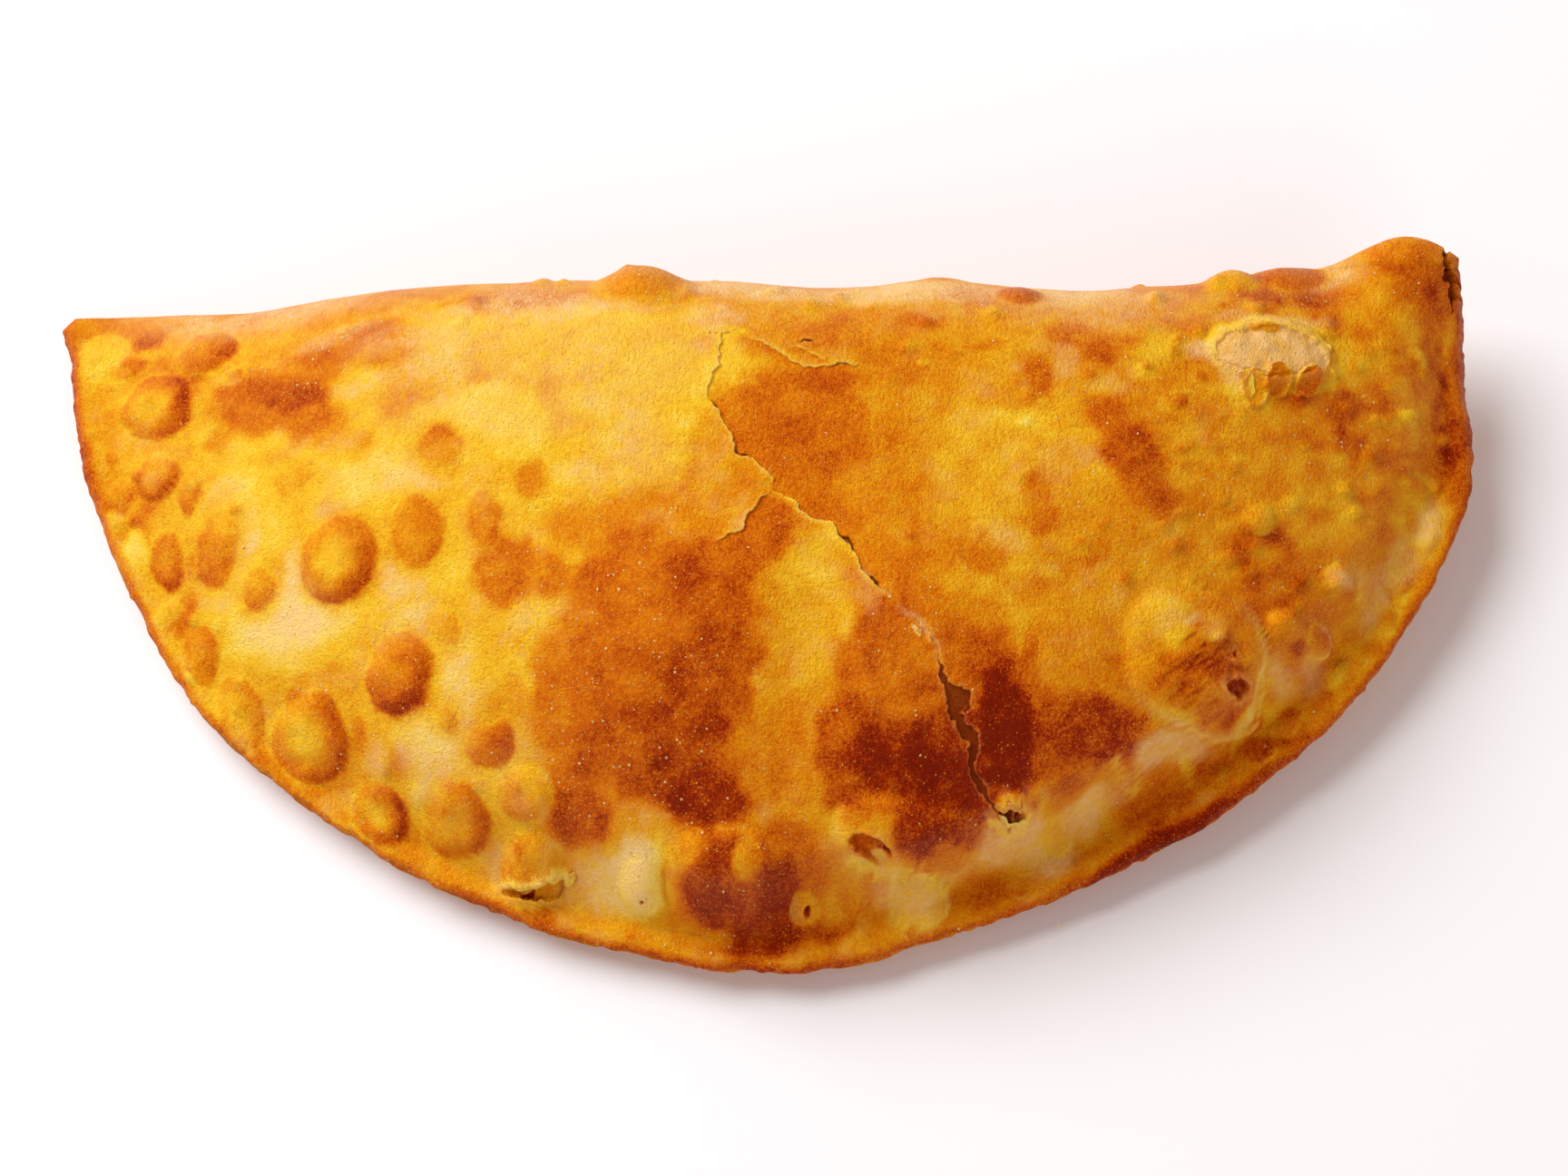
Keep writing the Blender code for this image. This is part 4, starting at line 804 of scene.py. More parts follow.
def tearShapes(x, y):
    # height of the torn places: a ragged edge turned up a little, and a sunken floor
    u, v = raggedPlace(x, y)
    height = np.zeros_like(x)
    for *shape, depth, _, _, _ in tears:
        near, q = nearby(u, v, shape, 2.0)
        reach = 0.16 / min(shape[2:4])
        sunk = ease((1.0 + reach - q) / (2.0 * reach))
        height[near] += 0.16 * np.exp(-((q - 1.0 - 2.0 * reach) / (2.0 * reach)) ** 2) * min(depth, 1.0)
        height[near] -= sunk * depth
    return height


def scrapShapes(x, y, first=0):
    # thin scraps with crisp edges, one side of each paler: height, browning and share
    u, v = raggedPlace(x, y)
    height, tone, share = blank(x, 3)
    for *shape, rise, browning, side in scraps[first:]:
        near, q = nearby(u, v, shape, 1.6)
        inside = (1.0 - q) * min(shape[2:4])
        cover = ease(inside / 0.18 + 0.5)
        height[near] += cover * rise * (1.0 + 0.7 * np.exp(-(inside / 0.5) ** 2))
        lean = leanTo(u[near], v[near], shape, side)
        pale = ease(lean * 1.6 - 0.1) * np.exp(-(inside / 0.4) ** 2)
        coat(tone, share, browning + (0.14 - browning) * pale, cover, near)
    return height, tone, share


def pimpleShapes(x, y):
    # small bumps scattered by rule, with the change of browning on them
    rng = np.random.default_rng(pimples["seed"])
    height, change = blank(x, 2)
    for count, lowX, highX, lowY, highY, least, most in pimples["fields"]:
        for _ in range(count):
            centre = rng.uniform(lowX, highX), rng.uniform(lowY, highY)
            size = rng.uniform(least, most)
            shape = (*centre, size, size * rng.uniform(0.65, 1.0), rng.uniform(0.0, 180.0))
            rise, shift = rng.uniform(0.3, 0.55) * size, rng.uniform(-0.16, 0.2)
            if planPlace(*np.array(centre))[1] < 1.2:
                continue
            near, q = nearby(x, y, shape, 1.6)
            dome = ease((1.2 - q) / 0.9)
            height[near] += rise * dome
            change[near] += shift * dome
    return height, change


def upperRelief(x, y, inward, whole=False):
    # how far the skin stands out from the smooth form, also without its cracks and small marks
    height = np.zeros_like(x)
    for *shape, rise in swells:
        height += rise * np.exp(-1.2 * ellipsePlace(x, y, shape) ** 2)
    height += layeredNoise(x, y, 16.0, 71) * 0.4 * ease(inward / 8.0)
    height += layeredNoise(x, y, 4.5, 81) * 0.1 * ease(inward / 2.0)
    height += np.maximum(blisterShapes(x, y)[0], domeShapes(x, y)[0]) + foldBlisterShapes(x, y)[0]
    if whole:
        return height
    height += crumpleShapes(x, y) + lineShapes(x, y)[0]
    step, sunk = crackShapes(x, y)[:2]
    return height + step - sunk + tearShapes(x, y) + scrapShapes(x, y)[0] + pimpleShapes(x, y)[0]


levels = {
    "base": 0.36,
    "halo": 0.27,  # least browning round the blisters of the left end
    "lip": 0.12,  # thin edges of the cracks
    "fold": 0.42,
    "tornEdge": 0.2,
    "under": 0.5,
    "dust_and_sheen": 0.12,
    "underDust": 0.35,
}


def browning(x, y, inward, behind):
    # the toast level from 0, pale, to 1, darkest, how raw the skin is, how floury with painted sheen on it,
    # and where it gapes
    toast = paintShape(x, y, np.full(x.shape, levels["base"]), washes)
    _, tone, share, halo = blisterShapes(x, y)
    toast += np.maximum(levels["halo"] - toast, 0.0) * halo * 0.8
    toast += (tone - toast) * share
    _, tone, domeCover, domeEdge, edgeTone, edgeRaw = domeShapes(x, y)
    toast += (tone - toast) * domeCover
    toast += (edgeTone - toast) * domeEdge
    # crests laid paler and valleys browner: painted highlight on the crests and painted shade in the valleys
    toast -= crumpleShapes(x, y) * 0.4
    unrest = (0.03 + 0.08 * toast) * (1.0 + 0.7 * ease((x - 42.0) / 14.0))
    toast += unrest * (softNoise(x, y, 3.1, 112) + softNoise(x, y, 1.5, 113))
    toast = toneSheets(x, y, toast)
    _, _, gap, lip = crackShapes(x, y)
    toast += (levels["lip"] - toast) * np.clip(lip, 0.0, 1.0) * 0.6
    _, tone, foldCover = foldBlisterShapes(x, y)
    toast += (tone - toast) * foldCover
    angle = np.degrees(planPlace(x, y)[0])
    rimTone = np.interp(angle, rim["angles"], rim["tones"]) + 0.16 * layeredNoise(x, y, 4.0, 115)
    rimWidth = np.interp(angle, rim["angles"], rim["widths"]) + 0.9 * layeredNoise(x, y, 6.0, 111)
    toast += (rimTone - toast) * ease((rimWidth - inward) / (0.5 + 0.6 * np.maximum(rimWidth, 0.0)))
    lineTone = np.interp(angle, rim["lineAngles"], rim["lineTones"])
    toast += np.maximum(lineTone - toast, 0.0) * ease((0.55 - inward) / 0.5)
    back = ease((9.0 - behind) / 8.0)
    toast += (levels["fold"] - toast) * back * (1.0 - foldCover) * 0.45
    raw = paintShape(x, y, np.zeros(x.shape), pallors) * (1.0 - 0.85 * halo)
    raw *= 1.0 - 0.85 * domeCover
    raw = np.maximum(raw, domeEdge * edgeRaw)
    raw = paintShape(x, y, raw, domePallors)
    raw *= 1.0 - 0.85 * ease((3.5 - inward) / 3.0)
    wall = foldPallor["wall"] * np.sqrt(np.clip(behind / 9.0, 0.0, 1.0))  # way up the steep back
    ragged = layeredNoise(x, wall, 6.0, 151)
    worn = ease(0.5 + 1.1 * ragged + (wall - foldPallor["lowest"]) / 4.0)
    foldRaw = np.interp(x + 3.0 * ragged, foldPallor["x"], foldPallor["pallor"])
    raw += foldRaw * ease((8.0 - behind) / 5.0) * worn
    toast += 0.1 * layeredNoise(x, wall, 9.0, 153) * back
    raw *= 1.0 - 0.9 * foldCover
    toast += pimpleShapes(x, y)[1]
    _, tone, share = scrapShapes(x, y)
    toast += (tone - toast) * share
    raw *= 1.0 - 0.8 * share
    raw += (0.36 - raw) * share * ease((0.24 - tone) / 0.1)
    _, tone, pale, share = lineShapes(x, y)
    toast += (tone - toast) * share
    raw += (pale - raw) * share
    flaked = scrapShapes(x, y, 1)[2]
    u, v = raggedPlace(x, y)
    for *shape, _, level, pale, lipShare in tears:
        q = ellipsePlace(u, v, shape)
        small = min(shape[2:4])
        share = ease((1.0 - q) * small / 0.3 + 0.5) * (1.0 - flaked)
        edge = np.exp(-(((q - 1.0) * small - 0.35) / 0.3) ** 2) * lipShare
        toast += (levels["tornEdge"] - toast) * edge
        raw += (0.4 - raw) * edge
        toast += (level - toast) * share
        raw += (pale - raw) * share
    raw = np.clip(raw + 0.22 * lip, 0.0, 1.0)
    mist = ease(layeredNoise(x, y, 5.0, 133) * 0.8 + softNoise(x, y, 1.3, 134) * 0.4)
    raw += 0.2 * mist * ease((0.54 - toast) / 0.2) * ease((64.0 - x) / 8.0)
    # amount of flour and of painted sheen
    dust_and_sheen = paintShape(x, y, np.full(x.shape, levels["dust_and_sheen"]), flourAndSheen) * (1.0 - 0.7 * foldCover)
    return toast, raw, dust_and_sheen, gap


def lowerBrowning(x, y, inward, behind):
    # the same for the underside, which doesn't gape
    toast = levels["under"] + 0.16 * layeredNoise(x, y, 15.0, 121) + 0.08 * layeredNoise(x, y, 5.0, 131)
    foot = ease((inward - 16.0) / 10.0) * ease((behind - 10.0) / 8.0)
    toast += 0.08 * foot
    raw = 0.25 * ease(layeredNoise(x, y, 18.0, 141) * 2.0 - 0.4)
    return toast, raw, np.full(x.shape, levels["underDust"])


# The crust's mesh: a flat slab of two fine grids, bent to the half moon

slab = {
    "topQuads": (250, 140),
    "underQuads": (104, 58),
    "edgeLevels": (0.55, 0.12, -0.12, -0.55),  # rings between the two sheets' edges
    "edgeBulge": (0.22, -0.28, -0.28, 0.18),
    "finer": (1.3, 0.7, 0.3),  # mm round a crack or a tear, where the quads are halved
    "blisterEdge": 0.55,  # mm round the edge of a blister, halved once
    "steep": 0.2,  # least steepness of such a blister
    "rimBand": 1.1,  # mm in from the rim, halved once
}


def squareToDisc(u, v):
    return u * np.sqrt(1.0 - 0.5 * v ** 2), v * np.sqrt(1.0 - 0.5 * u ** 2)


def gridToHalfMoon(u, v):
    depth = 0.5 * (1.0 - v)
    down = -depth ** 1.35
    discX, discY = squareToDisc(u, down)
    angle = np.arctan2(-discY, -discX)
    radius = np.hypot(discX, discY) * rimRadius(angle)
    x = -radius * np.cos(angle)
    y = form["centreY"] - radius * np.sin(angle)
    return x, y + (foldLine(x) - form["centreY"]) * (1.0 + down) ** 2


def brokenDistance(x, y):
    # mm from the nearest crack or tear's edge
    away = np.full(x.shape, farAway)
    for crack in cracks.values():
        distance, _, _, width, _ = crackPlace(x, y, crack["route"])
        away = np.minimum(away, np.abs(distance - width) - 0.2)
    for *shape, _, _, _ in tuple(tear[:-1] for tear in tears) + scraps:
        q = ellipsePlace(x, y, shape)
        away = np.minimum(away, np.abs(q - 1.0) * min(shape[2:4]))
    return away


def blisterEdgeDistance(x, y):
    away = np.full(x.shape, farAway)
    for *shape, steepness, _, _, _ in filled(blisters, 9, usualBlister):
        if steepness >= slab["steep"]:
            away = np.minimum(away, np.abs(ellipsePlace(x, y, shape) - 0.96) * min(shape[2:4]))
    for dome in domes:
        away = np.minimum(away, np.abs(ellipsePlace(x, y, dome) - 0.98) * min(dome[2:4]))
    return away


def refine(bm, chooser):
    # halve the quads whose corners are all chosen, but none on the border, whose steps stay even
    verts = list(bm.verts)
    flat = np.array([vert.co for vert in verts])
    x, y = gridToHalfMoon(flat[:, 0], flat[:, 1])
    for vert, chosen in zip(verts, chooser(x, y)):
        vert.tag = bool(chosen)
    faces = [face for face in bm.faces if all(vert.tag and not vert.is_boundary for vert in face.verts)]
    split = list({edge for face in faces for edge in face.edges})
    bmesh.ops.subdivide_edges(bm, edges=split, cuts=1, use_grid_fill=True)


def buildSlab():
    bm = bmesh.new()
    columns, rows = slab["topQuads"]
    bmesh.ops.create_grid(bm, x_segments=columns, y_segments=rows, size=1.0)
    coarse, fine, finest = slab["finer"]
    refine(bm, lambda x, y: (
        (brokenDistance(x, y) < coarse) | (blisterEdgeDistance(x, y) < slab["blisterEdge"])
        | (planPlace(x, y)[1] < slab["rimBand"])))
    refine(bm, lambda x, y: brokenDistance(x, y) < fine)
    refine(bm, lambda x, y: brokenDistance(x, y) < finest)
    for vert in bm.verts:
        vert.co.z = 1.0
    border = [edge for edge in bm.edges if edge.is_boundary]
    for level in slab["edgeLevels"]:
        made = bmesh.ops.extrude_edge_only(bm, edges=border)["geom"]
        for vert in (item for item in made if isinstance(item, bmesh.types.BMVert)):
            vert.co.z = level
        border = [item for item in made if isinstance(item, bmesh.types.BMEdge)]
    columns, rows = slab["underQuads"]
    under = bmesh.ops.create_grid(bm, x_segments=columns, y_segments=rows, size=1.0)["verts"]
    for vert in under:
        vert.co.z = -1.0
    border += list({edge for vert in under for edge in vert.link_edges if edge.is_boundary})
    bmesh.ops.bridge_loops(bm, edges=border)
    bmesh.ops.recalc_face_normals(bm, faces=list(bm.faces))
    return finishMesh(bm, "crust")


def finishMesh(bm, name):
    made = bpy.data.meshes.new(name)
    bm.to_mesh(made)
    bm.free()
    return made


def readVectors(owner, name, count):
    values = np.zeros(count * 3, np.float32)
    owner.foreach_get(name, values)
    return values.reshape(-1, 3).astype(float)


def layCrust(made):
    # bend the slab into the pastry, swell its skin and write what the finish needs
    count = len(made.vertices)
    flat = readVectors(made.vertices, "co", count)
    level = flat[:, 2]
    x, y = gridToHalfMoon(flat[:, 0], flat[:, 1])
    angle, inward, behind = planPlace(x, y)
    top = level > 0.99  # the two sheets lie at 1 and -1
    under = level < -0.99
    edgeHeight = seamHeight(x, y) + level * form["edge"] * 0.5
    z = np.where(top, upperHeight(x, y), np.where(under, lowerHeight(x, y), edgeHeight))
    made.vertices.foreach_set("co", np.stack([x, y, z], axis=1).astype(np.float32).ravel())
    made.update()
    normals = readVectors(made.vertex_normals, "vector", count)
    relief = upperRelief(x, y, inward)
    rimLength = angle * form["meanRadius"]  # mm along the rim
    ragged = 0.24 * softNoise(rimLength, level, 1.4, 151) + 0.45 * softNoise(rimLength, level * 0.4, 7.0, 161)
    ragged += 0.12 * softNoise(rimLength, level, 0.6, 155)
    fade = np.where(behind > 1.5, 1.0, behind / 1.5)
    wave = sum(push * bell(np.degrees(angle), middle, half) for middle, half, push in rim["waves"])
    edgePush = (ragged * np.exp(-inward / 1.0) + wave * np.exp(-inward / 5.0)) * fade
    bulge = np.interp(-level, [-v for v in slab["edgeLevels"]], slab["edgeBulge"]) * fade
    lower = layeredNoise(x, y, 14.0, 171) * 0.5 * ease((z - 0.5) / 4.0)
    push = np.where(top, relief, np.where(under, lower, bulge))
    place = np.stack([x, y, z], axis=1) + normals * push[:, None]
    outward = np.stack([-np.cos(angle), -np.sin(angle), np.zeros_like(x)], axis=1)
    place += outward * edgePush[:, None]
    place[:, 2] = np.maximum(place[:, 2], 0.0)
    place[:, :2] += originShift
    made.vertices.foreach_set("co", (place * mm).astype(np.float32).ravel())
    *topMasks, gap = browning(x, y, inward, behind)
    lowMasks = lowerBrowning(x, y, inward, behind)
    share = np.clip(0.5 + 0.5 * level / 0.6, 0.0, 1.0)
    for name, low, high in zip(("toast", "raw", "dust_and_sheen"), lowMasks, topMasks):
        writeMask(made, name, low + (high - low) * share)
    writeMask(made, "gap", np.where(top, gap, 0.0))
    made.update()
    made.shade_smooth()


def writeMask(made, name, values):
    made.attributes.new(name, "FLOAT", "POINT")
    made.attributes[name].data.foreach_set("value", np.clip(values, 0.0, 1.0).astype(np.float32))


# Material: small helpers, then one skin group for all pieces

def addNode(tree, kind, values=None, **settings):
    node = tree.nodes.new(kind)
    for name, value in settings.items():
        setattr(node, name, value)
    for name, value in (values or {}).items():
        putIn(tree, node.inputs[name], value)
    return node


def fromSrgb(red, green, blue):
    channels = [value / 255.0 for value in (red, green, blue)]
    return tuple(c / 12.92 if c <= 0.04045 else ((c + 0.055) / 1.055) ** 2.4 for c in channels) + (1.0,)


# the Dust mask carries flour and painted sheen
masks = ("Toast", "Raw", "Dust_and_sheen", "Gap")
skin = {
    "tones": (  # browning level and colour
        (0.0, fromSrgb(254, 224, 108)), (0.15, fromSrgb(246, 196, 40)), (0.3, fromSrgb(234, 162, 20)),
        (0.43, fromSrgb(225, 133, 7)), (0.56, fromSrgb(212, 104, 4)), (0.68, fromSrgb(192, 78, 2)),
        (0.82, fromSrgb(156, 32, 0)), (1.0, fromSrgb(122, 4, 0))),
    "rawDough": fromSrgb(246, 204, 138),
    "flour": fromSrgb(255, 222, 178),
    # the pale speck colour and flour are flour; the gold speck colour and sparkle are painted glints and
    # painted sheen
    "speckPale": fromSrgb(255, 214, 142),
    "speckGlint": fromSrgb(255, 196, 88),
    "sparkle": fromSrgb(240, 140, 24),
    # browning and painted shade inside the crack openings
    "gapBrownAndShade": fromSrgb(124, 38, 8),
    "noises": {  # scale, detail, roughness and share in the browning
        "mottle": (0.32, 3.0, 0.6, 0.2), "patch": (0.11, 2.0, 0.5, 0.06), "cloud": (0.75, 3.0, 0.65, 0.14),
        "grain": (1.9, 3.0, 0.7, 0.46), "fine": (3.6, 2.0, 0.6, 0.5)},
    "specks": {  # how many to a mm, least half size, added half size, shake
        # gold: painted glints; flour: flour specks
        "gold": (2.6, 0.05, 0.1, 0.1), "flour": (1.5, 0.07, 0.13, 0.2)},
    "bumpDepth": 0.00036,  # m
    "finish": {
        "Specular IOR Level": 0.24,
        "Specular Tint": (1.0, 0.66, 0.1, 1.0),
        "Subsurface Weight": 0.12,
        "Subsurface Radius": (1.0, 0.4, 0.12),
        "Subsurface Scale": 0.0012},
}


def putIn(tree, socket, value):
    # a value or another node's output
    if isinstance(value, (int, float, tuple)):
        socket.default_value = value
    else:
        tree.links.new(value, socket)


def mathNode(tree, operation, *values, clamp=False):
    node = addNode(tree, "ShaderNodeMath", operation=operation, use_clamp=clamp)
    for socket, value in zip(node.inputs, values):
        putIn(tree, socket, value)
    return node.outputs[0]


def mixColour(tree, share, first, second):
    node = addNode(tree, "ShaderNodeMix", data_type="RGBA", blend_type="MIX")
    for index, value in ((0, share), (6, first), (7, second)):  # the sockets for colours
        putIn(tree, node.inputs[index], value)
    return node.outputs[2]


def noiseNode(tree, vector, scale, detail, roughness):
    values = {"Vector": vector, "Scale": scale, "Detail": detail, "Roughness": roughness}
    return addNode(tree, "ShaderNodeTexNoise", values, noise_dimensions="3D").outputs["Fac"]


def remap(tree, value, low, high, outHigh=1.0):
    values = {"Value": value, "From Min": low, "From Max": high, "To Min": 0.0, "To Max": outHigh}
    node = addNode(tree, "ShaderNodeMapRange", values, interpolation_type="SMOOTHSTEP", clamp=True)
    return node.outputs["Result"]


def centred(tree, value, amount):
    # a noise moved to lie round zero and given a strength
    return mathNode(tree, "MULTIPLY_ADD", value, amount, -0.5 * amount)


def addSpecks(tree, vector, scale, least, more, wobble):
    # small uneven dots of several sizes, and a random value for each
    shake = addNode(tree, "ShaderNodeTexNoise", {"Vector": vector, "Scale": 5.0, "Detail": 1.0})
    place = addNode(tree, "ShaderNodeVectorMath", operation="MULTIPLY_ADD")
    for socket, value in zip(place.inputs, (shake.outputs["Color"], (wobble, wobble, wobble), vector)):
        putIn(tree, socket, value)
    values = {"Vector": place.outputs["Vector"], "Scale": scale, "Randomness": 1.0}
    dots = addNode(tree, "ShaderNodeTexVoronoi", values, feature="F1")
    chance = addNode(tree, "ShaderNodeSeparateColor", {"Color": dots.outputs["Color"]})
    uneven = mathNode(tree, "POWER", chance.outputs["Green"], 2.0)
    size = mathNode(tree, "MULTIPLY_ADD", uneven, more * scale, least * scale)
    away = mathNode(tree, "DIVIDE", dots.outputs["Distance"], size)
    return remap(tree, away, 1.25, 0.75), chance.outputs["Red"]


def makeSkinGroup():
    # fried dough: its colour, roughness and fine relief from four masks
    group = bpy.data.node_groups.new("friedSkin", "ShaderNodeTree")
    for name in masks:
        group.interface.new_socket(name=name, in_out="INPUT", socket_type="NodeSocketFloat")
    for name, kind in (("Color", "Color"), ("Roughness", "Float"), ("Normal", "Vector")):
        group.interface.new_socket(name=name, in_out="OUTPUT", socket_type="NodeSocket" + kind)
    inside = addNode(group, "NodeGroupInput").outputs
    toastMask, raw, dust_and_sheen, gap = (inside[name] for name in masks)
    outside = addNode(group, "NodeGroupOutput").inputs

    def add(*values, clamp=False):
        return mathNode(group, "ADD", *values, clamp=clamp)

    def times(*values, clamp=False):
        return mathNode(group, "MULTIPLY", *values, clamp=clamp)

    def line(value, slope, start, clamp=False):
        return mathNode(group, "MULTIPLY_ADD", value, slope, start, clamp=clamp)

    def under(value, limit):
        return mathNode(group, "LESS_THAN", value, limit)

    def scaled(scale):
        place = addNode(group, "ShaderNodeTexCoord").outputs["Object"]
        return addNode(group, "ShaderNodeMapping", {"Vector": place, "Scale": scale}).outputs["Vector"]

    inMm, stretched = scaled((1000.0, 1000.0, 1000.0)), scaled((1000.0, 700.0, 800.0))
    unrest, noises = 0.0, {}
    for name, (*settings, amount) in skin["noises"].items():
        noises[name] = noiseNode(group, stretched if name == "grain" else inMm, *settings)
        unrest = add(unrest, centred(group, noises[name], amount))
    mottle, _, cloud, grain, fine = noises.values()
    unrest = times(unrest, line(toastMask, 1.3, 0.28))
    ramp = addNode(group, "ShaderNodeValToRGB", {"Fac": add(toastMask, unrest)})
    stops = ramp.color_ramp.elements
    while len(stops) < len(skin["tones"]):
        stops.new(0.5)
    for stop, (position, colour) in zip(stops, skin["tones"]):
        stop.position = position
        stop.color = colour

    # pale dough, most ragged where the mask is half way
    ragged = add(add(centred(group, cloud, 5.0), centred(group, fine, 3.0)), centred(group, mottle, 3.4))
    partly = times(times(raw, mathNode(group, "SUBTRACT", 1.0, raw)), times(raw, 4.0, clamp=True))
    rawShare = add(raw, times(ragged, partly), clamp=True)
    colour = mixColour(group, rawShare, ramp.outputs["Color"], skin["rawDough"])

    # painted glints and flour: gold specks are painted glints, pale specks are flour, and a bloom of flour
    # and painted sheen
    gold, glintChance = addSpecks(group, inMm, *skin["specks"]["gold"])
    gold = times(gold, under(glintChance, line(dust_and_sheen, 0.55, 0.25)))
    glintColour = mixColour(group, toastMask, skin["speckGlint"], skin["sparkle"])
    colour = mixColour(group, times(gold, 0.6), colour, glintColour)
    speck, speckChance = addSpecks(group, inMm, *skin["specks"]["flour"])
    speck = times(speck, under(speckChance, times(dust_and_sheen, 0.34)))
    # the bloom: flour haze on raw places, painted sheen in the sparkle colour elsewhere
    bloomAndSheen = times(remap(group, fine, 0.52, 0.66, 0.7), mathNode(group, "POWER", dust_and_sheen, 2.0))
    bloomAndSheen = times(bloomAndSheen, line(toastMask, -1.6, 1.6, clamp=True))
    bloomSheenColour = mixColour(group, times(raw, 3.0, clamp=True), skin["sparkle"], skin["flour"])
    colour = mixColour(group, bloomAndSheen, colour, bloomSheenColour)
    flourShare = times(speck, 0.8)
    colour = mixColour(group, flourShare, colour, skin["speckPale"])
    # crack openings darkened: browning and painted shade
    putIn(group, outside["Color"], mixColour(group, times(gap, 0.9), colour, skin["gapBrownAndShade"]))

    rough = add(line(grain, 0.26, 0.3), times(raw, 0.2), clamp=True)
    putIn(group, outside["Roughness"], add(rough, times(flourShare, 0.25), clamp=True))
    height = add(add(add(grain, times(fine, 0.7)), times(gold, 0.25)), times(speck, 0.5))
    values = {"Strength": 1.0, "Distance": skin["bumpDepth"], "Height": height}
    bump = addNode(group, "ShaderNodeBump", values)
    putIn(group, outside["Normal"], bump.outputs["Normal"])
    return group


def skinMaterial(name, group):
    material = bpy.data.materials.new(name)
    material.use_nodes = True
    tree = material.node_tree
    shader = tree.nodes["Principled BSDF"].inputs
    fried = addNode(tree, "ShaderNodeGroup", node_tree=group)
    for mask in masks:
        node = addNode(tree, "ShaderNodeAttribute", attribute_name=mask.lower(), attribute_type="GEOMETRY")
        putIn(tree, fried.inputs[mask], node.outputs["Fac"])
    for target, source in (("Base Color", "Color"), ("Roughness", "Roughness"), ("Normal", "Normal")):
        putIn(tree, shader[target], fried.outputs[source])
    for target, value in skin["finish"].items():
        putIn(tree, shader[target], value)
    return material


def addPiece(name, made, material):
    piece = bpy.data.objects.new(name, made)
    bpy.context.scene.collection.objects.link(piece)
    made.materials.append(material)
    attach(piece, "root")
    made.calc_loop_triangles()
    print(name, "made,", len(made.loop_triangles), "triangles")
    return piece


crustMaterial = skinMaterial("friedCrust", makeSkinGroup())
crustMesh = buildSlab()
layCrust(crustMesh)
crust = addPiece("crust", crustMesh, crustMaterial)
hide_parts("pastry")


# Thin broken edges that stand over the cracks and holes, and loose flakes

def skinPoints(x, y, lift):
    # points at a height above the unbroken skin, in metres
    step = 0.3
    z = upperHeight(x, y)
    slopeX = (upperHeight(x + step, y) - upperHeight(x - step, y)) / (2.0 * step)
    slopeY = (upperHeight(x, y + step) - upperHeight(x, y - step)) / (2.0 * step)
    normal = np.stack([-slopeX, -slopeY, np.ones_like(x)], axis=1)
    normal /= np.linalg.norm(normal, axis=1)[:, None]
    inward = planPlace(x, y)[1]
    rise = upperRelief(x, y, inward, whole=True) + lift
    place = np.stack([x, y, z], axis=1) + normal * rise[:, None]
    place[:, :2] += originShift
    return place * mm


# Edges: points along them, side of the opening (1 right, -1 left), rise, overhang, browning, pallor
edges = {
    "spacing": 0.24,
    "thickness": 0.16,
    "foot": 0.7,
    "list": (
        (((-35.2, -37.8), (-33.6, -37.7), (-31.4, -37.7), (-29.4, -37.6), (-27.8, -38.2), (-26.8, -38.4)),
         1, 0.1, 0.34, 0.08, 0.2),
        (((29.0, -31.4), (30.2, -30.9), (31.4, -30.8), (32.8, -31.1)), 1, 0.08, 0.25, 0.34, 0.2),
        (((33.2, -31.5), (31.8, -32.0), (30.4, -31.9), (29.2, -31.7)), 1, 0.12, 0.3, 0.08, 0.3),
    ),
}

# Flakes: x, y, half length, half width, turn, lift, curl, browning at both ends, pallor
flakes = {
    "points": (15, 11),
    "thickness": 0.2,
    "list": (
        (62.3, 24.6, 1.9, 0.7, 112, 0.3, 0.25, 0.3, 0.12, 0.1),
        (-26.7, -38.2, 0.9, 0.5, 25, 0.25, 0.2, 0.14, 0.2, 0.2),
        (18.4, -10.2, 0.9, 0.22, 128, 0.06, 0.1, 0.2, 0.3, 0.6),
    ),
}


def maskedMesh():
    bm = bmesh.new()
    for name in masks:
        bm.verts.layers.float.new(name.lower())
    return bm


def followEdge(route):
    # even stations along a route, where the shaken skin really breaks
    points = np.array(route, float)
    lengths = np.concatenate([[0.0], np.cumsum(np.hypot(*np.diff(points, axis=0).T))])
    stations = np.linspace(0.0, lengths[-1], max(8, int(lengths[-1] / edges["spacing"])))
    x = np.interp(stations, lengths, points[:, 0])
    y = np.interp(stations, lengths, points[:, 1])
    placeX, placeY = x, y
    for _ in range(8):
        shakenX, shakenY = raggedPlace(placeX, placeY)
        placeX = placeX + 0.5 * np.clip(x - shakenX, -0.4, 0.4)
        placeY = placeY + 0.5 * np.clip(y - shakenY, -0.4, 0.4)
    return stations, placeX, placeY


def addSheet(bm, columns, rows, place, tone, pallor, thickness):
    # a thin sheet of columns by rows points, given a thickness
    made = bmesh.ops.create_grid(bm, x_segments=columns - 1, y_segments=rows - 1, size=1.0)["verts"]
    toast, raw = (bm.verts.layers.float[name] for name in ("toast", "raw"))
    for vert in made:
        column = round((vert.co.x + 1.0) * 0.5 * (columns - 1))
        row = round((vert.co.y + 1.0) * 0.5 * (rows - 1))
        vert.co = place[row, column]
        vert[toast] = tone[row, column]
        vert[raw] = pallor
    faces = list({face for vert in made for face in vert.link_faces})
    bmesh.ops.recalc_face_normals(bm, faces=faces)
    if sum(face.normal.z * face.calc_area() for face in faces) < 0.0:
        bmesh.ops.reverse_faces(bm, faces=faces)
    bmesh.ops.solidify(bm, geom=faces, thickness=thickness * mm)


